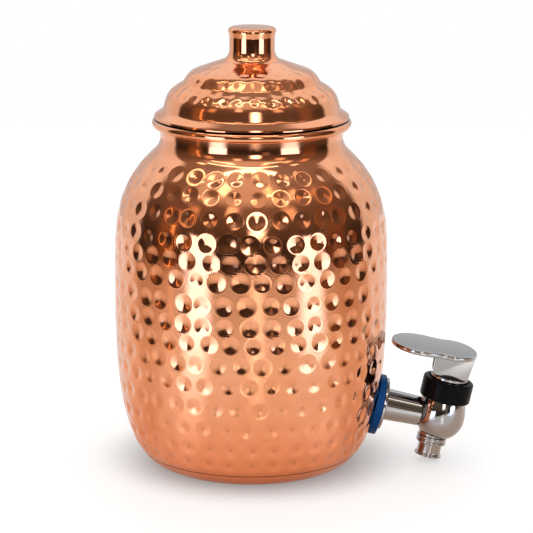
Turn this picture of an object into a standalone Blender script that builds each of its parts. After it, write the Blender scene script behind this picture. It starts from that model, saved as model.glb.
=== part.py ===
"""Copper water dispenser: a rolled-rim vessel, a stepped lid and a press-lever tap.

Metres, +Z up. The origin is the centre of the flat base, and the tap points along +X.
"""
import math

import bmesh
import bpy
from mathutils import Matrix, Vector

# Clearances and overruns
seat_gap = 0.0003
pin_play = 0.0001
cut_overrun = 0.0020
weld_distance = 0.00001
round_tolerance = 0.00015

# Turned wall of the vessel
vessel_wall = 0.0010
foot_radius = 0.0520
foot_pull = 0.0385
belly_radius = 0.0874
belly_height = 0.1310
belly_pull_down = 0.0430
belly_pull_up = 0.0299
shoulder_radius = 0.0621
shoulder_height = 0.2053
shoulder_pull = 0.0327
shoulder_slope = math.radians(42.5)
neck_radius = 0.0581

# Bottom plate, lapped inside the wall
base_wall = 0.0012
seam_height = 0.0103
lap_height = 0.0170

# Rolled rim
bead_radius = 0.0031
bead_rise = 0.0176
bead_curl_end = math.radians(-115)

# Lid sheet, its heights counted from the underside of the flange
lid_wall = 0.0008
lid_inset = 0.0007
flange_overhang = 0.0017
flange_edge = 0.0015
flange_edge_fillet = 0.0012
flange_rise = 0.0051
flange_root_fillet = 0.0010
lower_tier_lean = 0.0029
lower_tier_height = 0.0162
lower_tier_fillet = 0.0240
crease_inset = 0.0128
crease_height = 0.0226
crease_fillet = 0.0008
upper_tier_lean = 0.0041
upper_tier_height = 0.0291
upper_tier_fillet = 0.0160
lid_top_radius = 0.0194
lid_top_height = 0.0363

# Collar under the lid
collar_wall = 0.0008
collar_drop = 0.0140
collar_rise = 0.0058

# Knob and its screw
knob_height = 0.0213
knob_head_radius = 0.0158
knob_head_fillet = 0.0030
knob_crown = 0.0008
knob_waist_radius = 0.0143
knob_waist_height = 0.0140
knob_waist_fillet = 0.0120
knob_root_height = 0.0023
knob_root_fillet = 0.0080
knob_foot_radius = 0.0184
screw_radius = 0.0020
screw_reach = 0.0110
screw_head_radius = 0.0040
screw_head_height = 0.0024
screw_head_fillet = 0.0010
knob_washer_radius = 0.0065
knob_washer_thickness = 0.0008

# Tap shank, its lengths counted along its axis from the wall
tap_height = 0.0385
shank_length = 0.0425
shank_root_radius = 0.0104
shank_root_fillet = 0.0010
shank_tip_radius = 0.0094
shank_flange_radius = 0.0170
shank_flange_thickness = 0.0020
shank_flange_fillet = 0.0008
tail_radius = 0.0078
tail_reach = 0.0165
tail_chamfer = 0.0008
water_bore_radius = 0.0050
spigot_radius = 0.0082
spigot_reach = 0.0036
outer_washer_radius = 0.0197
outer_washer_thickness = 0.0029
outer_washer_fillet = 0.0007
outer_washer_bore_radius = 0.0093
washer_saddle = 0.0060
inner_washer_radius = 0.0150
inner_washer_thickness = 0.0030
backing_washer_radius = 0.0140
backing_washer_thickness = 0.0012
nut_flats_radius = 0.0110
nut_thickness = 0.0050
nut_chamfer = 0.0006

# Tap body, its heights counted from the middle of its ball along the stem
ball_radius = 0.0160
ball_rise = 0.0250
body_rim_radius = 0.0130
body_rim_height = 0.0220
chamber_radius = 0.0105
seat_depth = 0.0090
orifice_radius = 0.0042
outlet_offset = 0.0020
outlet_boss_radius = 0.0093
outlet_boss_depth = 0.0136

# Nozzle
nozzle_spigot_radius = 0.0070
nozzle_spigot_length = 0.0014
nozzle_ring_radius = 0.0098
nozzle_ring_length = 0.0050
nozzle_ring_fillet = 0.0009
nozzle_radius = 0.0077
nozzle_length = 0.0136
nozzle_lip_radius = 0.0089
nozzle_lip_length = 0.0020
nozzle_lip_fillet = 0.0008
nozzle_bore_radius = 0.0058

# Bonnet and collar nut
bonnet_plug_depth = 0.0045
bonnet_flange_thickness = 0.0010
bonnet_neck_radius = 0.0123
bonnet_top_height = 0.0276
bonnet_top_fillet = 0.0006
collar_nut_radius = 0.0165
collar_nut_bottom = 0.0120
collar_nut_lip_thickness = 0.0010
collar_nut_dish_radius = 0.0136
collar_nut_dish_depth = 0.0009
collar_nut_top_fillet = 0.0026
collar_nut_foot_fillet = 0.0012
ring_section_radius = 0.0006
bonnet_ring_depth = 0.0025
stem_ring_depth = 0.0004

# Stem, seat cup and spring
stem_radius = 0.0025
stem_eye_radius = 0.0032
stem_eye_thickness = 0.0046
stem_head_radius = 0.0042
stem_head_thickness = 0.0014
seat_cup_radius = 0.0070
seat_cup_height = 0.0045
seat_cup_floor = 0.0012
seat_cup_bevel = 0.0016
spring_washer_radius = 0.0070
spring_washer_thickness = 0.0008
spring_radius = 0.0055
spring_wire_radius = 0.0006

# Lever, its places counted from the pin
cam_height = 0.0060
cam_roll = 0.0080
cam_sweep = math.radians(30)
pin_radius = 0.0015
pin_near_reach = 0.0065
block_half_depth = 0.0080
block_toe = 0.0108
block_shoulder = 0.0128
block_toe_fillet = 0.0012
fork_half_gap = 0.0028
fork_roof = 0.0012
block_bevel = 0.0004
plate_top = 0.0120
plate_thickness = 0.0032
plate_bevel = 0.0010
plate_front_reach = 0.0143
plate_front_peak = -0.0015
plate_front_half_width = 0.0215
plate_waist_place = -0.0080
plate_waist_half_width = 0.0203
plate_back_peak = -0.0230
plate_back_half_width = 0.0226
plate_back_reach = 0.0420
plate_pitch = math.radians(2)

# Counts
copper_steps = 32
knob_steps = 24
tap_steps = 20
small_steps = 12
wall_curve_steps = 6
lap_steps = 2
base_steps = 4
curl_steps = 7
neck_steps = 3
wire_sides = 6
ball_upper_steps = 3
ball_lower_steps = 6
spring_turns = 6
spring_turn_points = 8
lobe_steps = 5
waist_steps = 2
cam_points = 6
bevel_segments = 2
smooth_angle = math.radians(32)

# Sizes that follow from the ones above
mouth_radius = neck_radius - vessel_wall
bead_ring_radius = mouth_radius + bead_radius
bead_height = shoulder_height + bead_rise
bead_top = bead_height + bead_radius
neck_arc_radius = (shoulder_radius - neck_radius) / (1 - math.sin(shoulder_slope))
neck_arc_height = shoulder_height + neck_arc_radius * math.cos(shoulder_slope)
lid_bottom = bead_top + seat_gap
lid_foot_radius = mouth_radius - lid_inset
lid_top = lid_bottom + lid_top_height
knob_bottom = lid_top + seat_gap
screw_hole_radius = screw_radius + seat_gap
flange_back = outer_washer_thickness + seat_gap
flange_face = flange_back + shank_flange_thickness
tail_hole_radius = tail_radius + seat_gap
outer_washer_drop = outer_washer_bore_radius - tail_hole_radius
inner_washer_face = vessel_wall + seat_gap
inner_washer_back = inner_washer_face + inner_washer_thickness
nut_face = inner_washer_back + seat_gap + backing_washer_thickness + seat_gap
nozzle_top = -(outlet_boss_depth + seat_gap)
bonnet_flange_bottom = body_rim_height + seat_gap
bonnet_flange_top = bonnet_flange_bottom + bonnet_flange_thickness
bonnet_plug_bottom = body_rim_height - bonnet_plug_depth
collar_nut_lip_bottom = bonnet_flange_top + seat_gap
collar_nut_dish = collar_nut_lip_bottom + collar_nut_lip_thickness
collar_nut_top = collar_nut_dish + collar_nut_dish_depth
collar_nut_bore_radius = body_rim_radius + seat_gap
stem_bore_radius = stem_radius + seat_gap
seat_cup_bottom = seat_gap - seat_depth
seat_cup_top = seat_cup_bottom + seat_cup_height
spring_washer_bottom = seat_cup_top + seat_gap
spring_washer_top = spring_washer_bottom + spring_washer_thickness
pin_height = bonnet_top_height + seat_gap + cam_height
pin_hole_radius = pin_radius + pin_play


def curve_point(ends, share):
    """Return the point and the direction of a cubic curve at a share of its run."""
    start, pull_out, pull_in, finish = [Vector(end) for end in ends]
    left = 1 - share
    point = start * left ** 3 + pull_out * 3 * left * left * share
    point += pull_in * 3 * left * share * share + finish * share ** 3
    along = (pull_out - start) * left * left + (pull_in - pull_out) * 2 * left * share
    along += (finish - pull_in) * share * share
    return point, along.normalized()


lower_wall = [
    (foot_radius, 0),
    (foot_radius + foot_pull, 0),
    (belly_radius, belly_height - belly_pull_down),
    (belly_radius, belly_height),
]
upper_wall = [
    (belly_radius, belly_height),
    (belly_radius, belly_height + belly_pull_up),
    (shoulder_radius + shoulder_pull * math.cos(shoulder_slope),
     shoulder_height - shoulder_pull * math.sin(shoulder_slope)),
    (shoulder_radius, shoulder_height),
]


def wall_share(height):
    """Return how far along the lower wall a height lies, found by halving."""
    low, high = 0, 1
    for _ in range(40):
        middle = (low + high) / 2
        if curve_point(lower_wall, middle)[0].y < height:
            low = middle
        else:
            high = middle
    return low


def skin(share, depth):
    """Return a point of the lower wall, moved in from its outer face by a depth."""
    point, along = curve_point(lower_wall, share)
    return (point.x - along.y * depth, point.y + along.x * depth)


def skin_run(first_share, last_share, depth, steps):
    """Return points of the lower wall between two shares at one depth."""
    spread = [first_share + (last_share - first_share) * step / steps for step in range(steps + 1)]
    return [skin(share, depth) for share in spread]


def wall_run(depth):
    """Return the wall's points from belly to seam at one depth, close together along the lap."""
    lap_top = wall_share(lap_height)
    upper = skin_run(1, lap_top, depth, wall_curve_steps)
    return upper + skin_run(lap_top, wall_share(seam_height), depth, lap_steps)[1:]


def arc(centre, radii, first, last, steps):
    """Return points of an ellipse's arc between two angles."""
    points = []
    for step in range(steps + 1):
        angle = first + (last - first) * step / steps
        points.append((centre[0] + radii[0] * math.cos(angle), centre[1] + radii[1] * math.sin(angle)))
    return points


def rounded(corners, closed=False):
    """Return an outline whose (x, y, fillet) corners are rounded, as far as their sides allow."""
    points = []
    count = len(corners)
    for number, corner in enumerate(corners):
        here = Vector(corner[:2])
        fillet = corner[2] if len(corner) > 2 else 0
        if fillet == 0 or (not closed and number in (0, count - 1)):
            points.append(tuple(here))
            continue
        before = corners[number - 1]
        after = corners[(number + 1) % count]
        inward = here - Vector(before[:2])
        outward = Vector(after[:2]) - here
        rooms = []
        for side, neighbour in ((inward, before), (outward, after)):
            shared = len(neighbour) > 2 and neighbour[2] > 0
            rooms.append(side.length / 2 if shared else side.length)
        inward.normalize()
        outward.normalize()
        turn = inward.angle(outward)
        reach = min(fillet * math.tan(turn / 2), rooms[0], rooms[1])
        radius = reach / math.tan(turn / 2)
        aside = (outward - inward * inward.dot(outward)).normalized()
        widest = 2 * math.acos(max(0, 1 - round_tolerance / radius))
        steps = max(1, math.ceil(turn / widest))
        for step in range(steps + 1):
            angle = turn * step / steps
            point = here - inward * reach + inward * (radius * math.sin(angle))
            points.append(tuple(point + aside * (radius * (1 - math.cos(angle)))))
    return points


def make_collection(name):
    """Add a collection to the scene."""
    group = bpy.data.collections.new(name)
    bpy.context.scene.collection.children.link(group)
    return group


for old in list(bpy.data.objects):
    bpy.data.objects.remove(old)
parts = make_collection("copper_water_dispenser")
cutters = make_collection("cutters")


def make_frame(name, place, turn, parent=None):
    """Add an empty that carries pieces at a place, turned about the axes."""
    frame = bpy.data.objects.new(name, None)
    parts.objects.link(frame)
    frame.empty_display_size = seat_depth
    frame.location = place
    frame.rotation_euler = turn
    frame.parent = parent
    return frame


def add_piece(name, mesh, finish, frame=None):
    """Add a visible piece with its own material."""
    colour, roughness, metallic = finish
    surface = bpy.data.materials.new(name)
    surface.use_nodes = True
    shader = surface.node_tree.nodes["Principled BSDF"]
    shader.inputs["Base Color"].default_value = (*colour, 1)
    shader.inputs["Roughness"].default_value = roughness
    shader.inputs["Metallic"].default_value = metallic
    mesh.materials.clear()
    mesh.materials.append(surface)
    piece = bpy.data.objects.new(name, mesh)
    parts.objects.link(piece)
    piece.parent = frame
    return piece


def add_cutter(name, mesh, frame=None):
    """Add a hidden shape that cuts, joins or trims a piece."""
    cutter = bpy.data.objects.new(name, mesh)
    cutters.objects.link(cutter)
    cutter.parent = frame
    cutter.hide_render = True
    cutter.display_type = "WIRE"
    return cutter


def cut(piece, cutter, operation="DIFFERENCE"):
    """Put a Boolean of one cutter on a piece."""
    boolean = piece.modifiers.new(cutter.name, "BOOLEAN")
    boolean.object = cutter
    boolean.operation = operation
    boolean.solver = "EXACT"
    return boolean


def smooth(mesh):
    """Shade a mesh smooth, with its sharp edges kept."""
    mesh.shade_smooth()
    mesh.set_sharp_from_angle(angle=smooth_angle)
    return mesh


def evaluated_mesh(maker):
    """Return the mesh that an object's modifiers or curve make, and remove the object."""
    bpy.context.scene.collection.objects.link(maker)
    bpy.context.view_layer.update()
    mesh = bpy.data.meshes.new_from_object(maker.evaluated_get(bpy.context.evaluated_depsgraph_get()))
    mesh.name = maker.name
    bpy.data.objects.remove(maker)
    return mesh


def turned(name, outline, steps, closed=False, sheet=0):
    """Return the mesh of an outline of (radius, height) points turned about Z.

    The outline runs down its outer side. A sheet thickness is added inside it.
    """
    profile = bpy.data.meshes.new(name)
    edges = [(number, number + 1) for number in range(len(outline) - 1)]
    if closed:
        edges.append((len(outline) - 1, 0))
    profile.from_pydata([(radius, 0, height) for radius, height in outline], edges, [])
    maker = bpy.data.objects.new(name, profile)
    screw = maker.modifiers.new("turn", "SCREW")
    screw.steps = steps
    screw.render_steps = steps
    screw.use_merge_vertices = True
    screw.merge_threshold = weld_distance
    if sheet:
        solidify = maker.modifiers.new("sheet", "SOLIDIFY")
        solidify.thickness = sheet
        solidify.offset = -1
        solidify.use_even_offset = True
    return smooth(evaluated_mesh(maker))


def ring(name, inner, outer, low, high, steps):
    """Return the mesh of a plain ring between two radii and two heights."""
    return turned(name, [(inner, high), (outer, high), (outer, low), (inner, low)], steps, closed=True)


def rod(name, radius, low, high, steps, turn=None):
    """Return the mesh of a plain cylinder between two heights, turned by a matrix."""
    shape = bmesh.new()
    bmesh.ops.create_cone(shape, cap_ends=True, segments=steps, radius1=radius, radius2=radius,
                          depth=high - low)
    bmesh.ops.translate(shape, verts=shape.verts, vec=(0, 0, (low + high) / 2))
    if turn is not None:
        bmesh.ops.transform(shape, matrix=turn, verts=shape.verts)
    mesh = bpy.data.meshes.new(name)
    shape.to_mesh(mesh)
    shape.free()
    return smooth(mesh)


def box(name, low, high):
    """Return the mesh of a box between two corners."""
    low, high = Vector(low), Vector(high)
    shape = bmesh.new()
    bmesh.ops.create_cube(shape, size=1)
    size = high - low
    bmesh.ops.scale(shape, vec=size, verts=shape.verts)
    bmesh.ops.translate(shape, verts=shape.verts, vec=(low + high) / 2)
    mesh = bpy.data.meshes.new(name)
    shape.to_mesh(mesh)
    shape.free()
    return mesh


def slab(name, outline, half_thickness):
    """Return the mesh of a flat outline in XY, thickened both ways along Z."""
    flat = bpy.data.curves.new(name, "CURVE")
    flat.dimensions = "2D"
    flat.fill_mode = "BOTH"
    flat.extrude = half_thickness
    spline = flat.splines.new("POLY")
    spline.points.add(len(outline) - 1)
    for point, (x, y) in zip(spline.points, outline):
        point.co = (x, y, 0, 1)
    spline.use_cyclic_u = True
    mesh = evaluated_mesh(bpy.data.objects.new(name, flat))
    shape = bmesh.new()
    shape.from_mesh(mesh)
    bmesh.ops.remove_doubles(shape, verts=shape.verts, dist=weld_distance)
    bmesh.ops.recalc_face_normals(shape, faces=shape.faces)
    shape.to_mesh(mesh)
    shape.free()
    return mesh


def loop_wire(name, radius, height, wire, steps):
    """Return the mesh of a closed ring of round wire about Z."""
    shape = [(radius + wire * math.cos(angle), height - wire * math.sin(angle))
             for angle in [math.tau * side / wire_sides for side in range(wire_sides)]]
    return turned(name, shape, steps, closed=True)


copper = ((0.86, 0.42, 0.26), 0.20, 1)
bright_copper = ((0.90, 0.46, 0.29), 0.14, 1)
chrome = ((0.78, 0.79, 0.80), 0.08, 1)
steel = ((0.60, 0.60, 0.61), 0.30, 1)
blue_silicone = ((0.01, 0.08, 0.32), 0.45, 0)
clear_silicone = ((0.75, 0.76, 0.74), 0.50, 0)
black_plastic = ((0.012, 0.012, 0.013), 0.35, 0)
black_rubber = ((0.02, 0.02, 0.02), 0.60, 0)


def wall_plug(name, depth, frame=None):
    """Return a hidden solid that fills the lower vessel to a depth inside its outer face."""
    run = wall_run(depth)
    outline = [(0, run[0][1])] + run + [(0, run[-1][1])]
    return add_cutter(name, turned(name, outline, copper_steps), frame)


def make_vessel(shank_frame):
    """Make the wall with its rolled rim, the bottom plate and the rim's wire."""
    curl = arc((bead_ring_radius, bead_height), (bead_radius - vessel_wall,) * 2,
               bead_curl_end, math.pi, curl_steps)
    neck = arc((neck_radius + neck_arc_radius, neck_arc_height), (neck_arc_radius,) * 2,
               math.pi, math.pi * 3 / 2 - shoulder_slope, neck_steps)
    shoulder = [tuple(curve_point(upper_wall, 1 - step / wall_curve_steps)[0])
                for step in range(1, wall_curve_steps)]
    outline = curl + neck + shoulder + wall_run(0)
    mesh = turned("vessel_shell", outline, copper_steps, sheet=vessel_wall)
    shell = add_piece("vessel_shell", mesh, copper)
    hole = rod("shank_hole", tail_hole_radius, -tail_reach, tail_reach, tap_steps)
    cut(shell, add_cutter("shank_hole", hole, shank_frame))

    lap_depth = vessel_wall + seat_gap
    lap_top = wall_share(lap_height)
    ledge = wall_share(seam_height - seat_gap)
    under_ledge = wall_share(seam_height - seat_gap - base_wall)
    inside = [(0, base_wall)] + skin_run(0, under_ledge, base_wall, base_steps)
    inside += skin_run(under_ledge, lap_top, lap_depth + base_wall, lap_steps)
    outside = skin_run(lap_top, ledge, lap_depth, lap_steps)
    outside += skin_run(ledge, 0, 0, base_steps) + [(0, 0)]
    add_piece("base_plate", turned("base_plate", inside + outside, copper_steps), copper)

    wire_radius = bead_radius - vessel_wall - seat_gap
    wire = loop_wire("rim_wire", bead_ring_radius, bead_height, wire_radius, copper_steps)
    add_piece("rim_wire", wire, bright_copper)


def make_lid():
    """Make the stepped dome, its locating collar, and the knob with its screw and washer."""
    flange_radius = bead_ring_radius + flange_overhang
    outline = rounded([
        (screw_hole_radius, lid_top),
        (lid_top_radius, lid_top, seat_gap),
        (lid_foot_radius - crease_inset - upper_tier_lean, lid_bottom + upper_tier_height, upper_tier_fillet),
        (lid_foot_radius - crease_inset, lid_bottom + crease_height, crease_fillet),
        (lid_foot_radius - lower_tier_lean, lid_bottom + lower_tier_height, lower_tier_fillet),
        (lid_foot_radius, lid_bottom + flange_rise, flange_root_fillet),
        (flange_radius, lid_bottom + flange_edge, flange_edge_fillet),
        (flange_radius, lid_bottom),
    ])
    lid_frame = make_frame("lid_frame", (0, 0, 0), (0, 0, 0))
    add_piece("lid_dome", turned("lid_dome", outline, copper_steps, sheet=lid_wall), copper, lid_frame)

    collar_radius = lid_foot_radius - lid_wall - seat_gap
    collar = ring("lid_collar", collar_radius - collar_wall, collar_radius,
                  lid_bottom - collar_drop, lid_bottom + collar_rise, copper_steps)
    add_piece("lid_collar", collar, copper, lid_frame)

    knob_top = knob_bottom + knob_height
    outline = rounded([
        (0, knob_top),
        (knob_head_radius, knob_top - knob_crown, knob_head_fillet),
        (knob_waist_radius, knob_bottom + knob_waist_height, knob_waist_fillet),
        (knob_waist_radius, knob_bottom + knob_root_height, knob_root_fillet),
        (knob_foot_radius, knob_bottom),
        (0, knob_bottom),
    ])
    knob = add_piece("lid_knob", turned("lid_knob", outline, knob_steps), bright_copper, lid_frame)
    hole = rod("knob_hole", screw_hole_radius, knob_bottom - cut_overrun,
               knob_bottom + screw_reach + seat_gap, small_steps)
    cut(knob, add_cutter("knob_hole", hole, lid_frame))

    washer_top = lid_top - lid_wall - seat_gap
    washer_bottom = washer_top - knob_washer_thickness
    mesh = ring("knob_washer", screw_hole_radius, knob_washer_radius, washer_bottom, washer_top,
                small_steps)
    add_piece("knob_washer", mesh, steel, lid_frame)
    head_top = washer_bottom - seat_gap
    outline = rounded([
        (0, knob_bottom + screw_reach),
        (screw_radius, knob_bottom + screw_reach),
        (screw_radius, head_top),
        (screw_head_radius, head_top),
        (screw_head_radius, head_top - screw_head_height, screw_head_fillet),
        (0, head_top - screw_head_height),
    ])
    add_piece("knob_screw", turned("knob_screw", outline, small_steps), steel, lid_frame)


def make_clamp(shank_frame):
    """Make the washers and the nut that clamp the shank in the vessel's wall.

    The outer washer hangs by its own play on the shank's tail.
    """
    outline = rounded([
        (outer_washer_bore_radius, outer_washer_thickness),
        (outer_washer_radius, outer_washer_thickness, outer_washer_fillet),
        (outer_washer_radius, -washer_saddle),
        (outer_washer_bore_radius, -washer_saddle),
    ])
    mesh = turned("outer_washer", outline, copper_steps, closed=True)
    washer = add_piece("outer_washer", mesh, blue_silicone, shank_frame)
    washer.location.x = outer_washer_drop
    cut(washer, wall_plug("outer_saddle", -seat_gap))

    mesh = ring("inner_washer", tail_hole_radius, inner_washer_radius, -inner_washer_back, 0, copper_steps)
    washer = add_piece("inner_washer", mesh, clear_silicone, shank_frame)
    cut(washer, wall_plug("inner_saddle", inner_washer_face), "INTERSECT")

    backing_face = inner_washer_back + seat_gap
    mesh = ring("backing_washer", tail_hole_radius, backing_washer_radius,
                -backing_face - backing_washer_thickness, -backing_face, tap_steps)
    add_piece("backing_washer", mesh, steel, shank_frame)

    corner_radius = nut_flats_radius / math.cos(math.pi / 6)
    mesh = rod("shank_nut", corner_radius, -nut_face - nut_thickness, -nut_face, 6)
    nut = add_piece("shank_nut", mesh, steel, shank_frame)
    bevel = nut.modifiers.new("chamfer", "BEVEL")
    bevel.width = nut_chamfer
    hole = rod("nut_hole", tail_hole_radius, -nut_face - nut_thickness - cut_overrun,
               cut_overrun - nut_face, tap_steps)
    cut(nut, add_cutter("nut_hole", hole, shank_frame))


def ball_outline(extra):
    """Return the ball's outline, larger by an extra, from the collar's underside down to its foot."""
    shoulder_angle = math.asin((collar_nut_bottom - seat_gap) / ball_rise)
    upper = arc((0, 0), (ball_radius + extra, ball_rise + extra), shoulder_angle, 0, ball_upper_steps)
    lower = arc((0, 0), (ball_radius + extra,) * 2, 0, -math.pi / 2, ball_lower_steps)
    return upper + lower[1:-1] + [(0, -ball_radius - extra)]


def make_shank(shank_frame, valve_frame):
    """Make the flanged shank, its threaded tail and the spigot that enters the ball."""
    ball_back = shank_length - ball_radius
    outline = rounded([
        (0, shank_length - chamber_radius),
        (shank_tip_radius, shank_length - chamber_radius),
        (shank_root_radius, flange_face, shank_root_fillet),
        (shank_flange_radius, flange_face, shank_flange_fillet),
        (shank_flange_radius, flange_back),
        (tail_radius, flange_back),
        (tail_radius, -tail_reach, tail_chamfer),
        (0, -tail_reach),
    ])
    shank = add_piece("shank", turned("shank", outline, tap_steps), chrome, shank_frame)
    outline = ball_outline(seat_gap)
    outline = [(0, outline[0][1])] + outline
    cut(shank, add_cutter("ball_space", turned("ball_space", outline, tap_steps), valve_frame))
    spigot = rod("shank_spigot", spigot_radius, flange_face, ball_back + spigot_reach, tap_steps)
    cut(shank, add_cutter("shank_spigot", spigot, shank_frame), "UNION")
    bore = rod("shank_bore", water_bore_radius, -tail_reach - cut_overrun, shank_length, tap_steps)
    cut(shank, add_cutter("shank_bore", bore, shank_frame))


def make_tap_body(shank_frame, valve_frame):
    """Make the round valve body with its chamber, seat, outlet boss and sockets."""
    outline = ball_outline(0)
    outline = [(0, body_rim_height), (body_rim_radius, body_rim_height),
               (body_rim_radius, outline[0][1])] + outline
    body = add_piece("tap_body", turned("tap_body", outline, tap_steps), chrome, valve_frame)
    beside = Matrix.Translation((-outlet_offset, 0, 0))
    boss = rod("outlet_boss", outlet_boss_radius, -outlet_boss_depth, -seat_depth, tap_steps, beside)
    cut(body, add_cutter("outlet_boss", boss, valve_frame), "UNION")
    face = rod("outlet_face", nozzle_ring_radius + seat_gap, -ball_radius - cut_overrun,
               -outlet_boss_depth, tap_steps, beside)
    cut(body, add_cutter("outlet_face", face, valve_frame))
    chamber = rod("chamber", chamber_radius, -seat_depth, body_rim_height + cut_overrun, tap_steps)
    cut(body, add_cutter("chamber", chamber, valve_frame))
    orifice = rod("orifice", orifice_radius, -ball_radius, cut_overrun - seat_depth, small_steps)
    cut(body, add_cutter("orifice", orifice, valve_frame))
    socket_top = nozzle_top + nozzle_spigot_length + seat_gap
    socket = rod("nozzle_socket", nozzle_spigot_radius + seat_gap, -ball_radius - cut_overrun,
                 socket_top, tap_steps, beside)
    cut(body, add_cutter("nozzle_socket", socket, valve_frame))
    socket_end = shank_length - ball_radius + spigot_reach + seat_gap
    socket = rod("shank_socket", spigot_radius + seat_gap, shank_length - ball_rise, socket_end, tap_steps)
    cut(body, add_cutter("shank_socket", socket, shank_frame))
    inlet = rod("inlet", water_bore_radius, socket_end - cut_overrun, shank_length, tap_steps)
    cut(body, add_cutter("inlet", inlet, shank_frame))


def make_nozzle(valve_frame):
    """Make the outlet: a spigot, a thick ring, a short tube and a rolled lip."""
    ring_bottom = nozzle_top - nozzle_ring_length
    lip_bottom = nozzle_top - nozzle_length
    outline = rounded([
        (nozzle_bore_radius, nozzle_top + nozzle_spigot_length),
        (nozzle_spigot_radius, nozzle_top + nozzle_spigot_length),
        (nozzle_spigot_radius, nozzle_top),
        (nozzle_ring_radius, nozzle_top, nozzle_ring_fillet),
        (nozzle_ring_radius, ring_bottom, nozzle_ring_fillet),
        (nozzle_radius, ring_bottom),
        (nozzle_radius, lip_bottom + nozzle_lip_length),
        (nozzle_lip_radius, lip_bottom + nozzle_lip_length / 2),
        (nozzle_lip_radius, lip_bottom, nozzle_lip_fillet),
        (nozzle_bore_radius, lip_bottom),
    ], closed=True)
    nozzle = add_piece("spout_nozzle", turned("spout_nozzle", outline, tap_steps, closed=True), chrome,
                       valve_frame)
    nozzle.location.x = -outlet_offset


def make_bonnet(valve_frame):
    """Make the bonnet, its two sealing rings and the collar nut that holds it down."""
    plug_radius = chamber_radius - seat_gap
    groove_half = ring_section_radius + seat_gap
    outer_ring_radius = plug_radius - ring_section_radius
    outer_ring_height = body_rim_height - bonnet_ring_depth
    outer_groove_radius = outer_ring_radius - groove_half
    stem_ring_radius = stem_radius + groove_half
    stem_ring_height = body_rim_height - stem_ring_depth
    stem_groove_radius = stem_ring_radius + groove_half
    outline = rounded([
        (stem_bore_radius, bonnet_top_height),
        (bonnet_neck_radius, bonnet_top_height, bonnet_top_fillet),
        (bonnet_neck_radius, bonnet_flange_top),
        (body_rim_radius, bonnet_flange_top),
        (body_rim_radius, bonnet_flange_bottom),
        (plug_radius, bonnet_flange_bottom),
        (plug_radius, outer_ring_height + groove_half),
        (outer_groove_radius, outer_ring_height + groove_half),
        (outer_groove_radius, outer_ring_height - groove_half),
        (plug_radius, outer_ring_height - groove_half),
        (plug_radius, bonnet_plug_bottom),
        (stem_bore_radius, bonnet_plug_bottom),
        (stem_bore_radius, stem_ring_height - groove_half),
        (stem_groove_radius, stem_ring_height - groove_half),
        (stem_groove_radius, stem_ring_height + groove_half),
        (stem_bore_radius, stem_ring_height + groove_half),
    ], closed=True)
    add_piece("bonnet", turned("bonnet", outline, tap_steps, closed=True), chrome, valve_frame)
    mesh = loop_wire("bonnet_ring", outer_ring_radius, outer_ring_height, ring_section_radius, tap_steps)
    add_piece("bonnet_ring", mesh, black_rubber, valve_frame)
    mesh = loop_wire("stem_ring", stem_ring_radius, stem_ring_height, ring_section_radius, small_steps)
    add_piece("stem_ring", mesh, black_rubber, valve_frame)

    outline = rounded([
        (bonnet_neck_radius + seat_gap, collar_nut_dish),
        (collar_nut_dish_radius, collar_nut_dish),
        (collar_nut_dish_radius, collar_nut_top),
        (collar_nut_radius, collar_nut_top, collar_nut_top_fillet),
        (collar_nut_radius, collar_nut_bottom, collar_nut_foot_fillet),
        (collar_nut_bore_radius, collar_nut_bottom),
        (collar_nut_bore_radius, collar_nut_lip_bottom),
        (bonnet_neck_radius + seat_gap, collar_nut_lip_bottom),
    ], closed=True)
    add_piece("collar_nut", turned("collar_nut", outline, tap_steps, closed=True), black_plastic, valve_frame)


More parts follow.
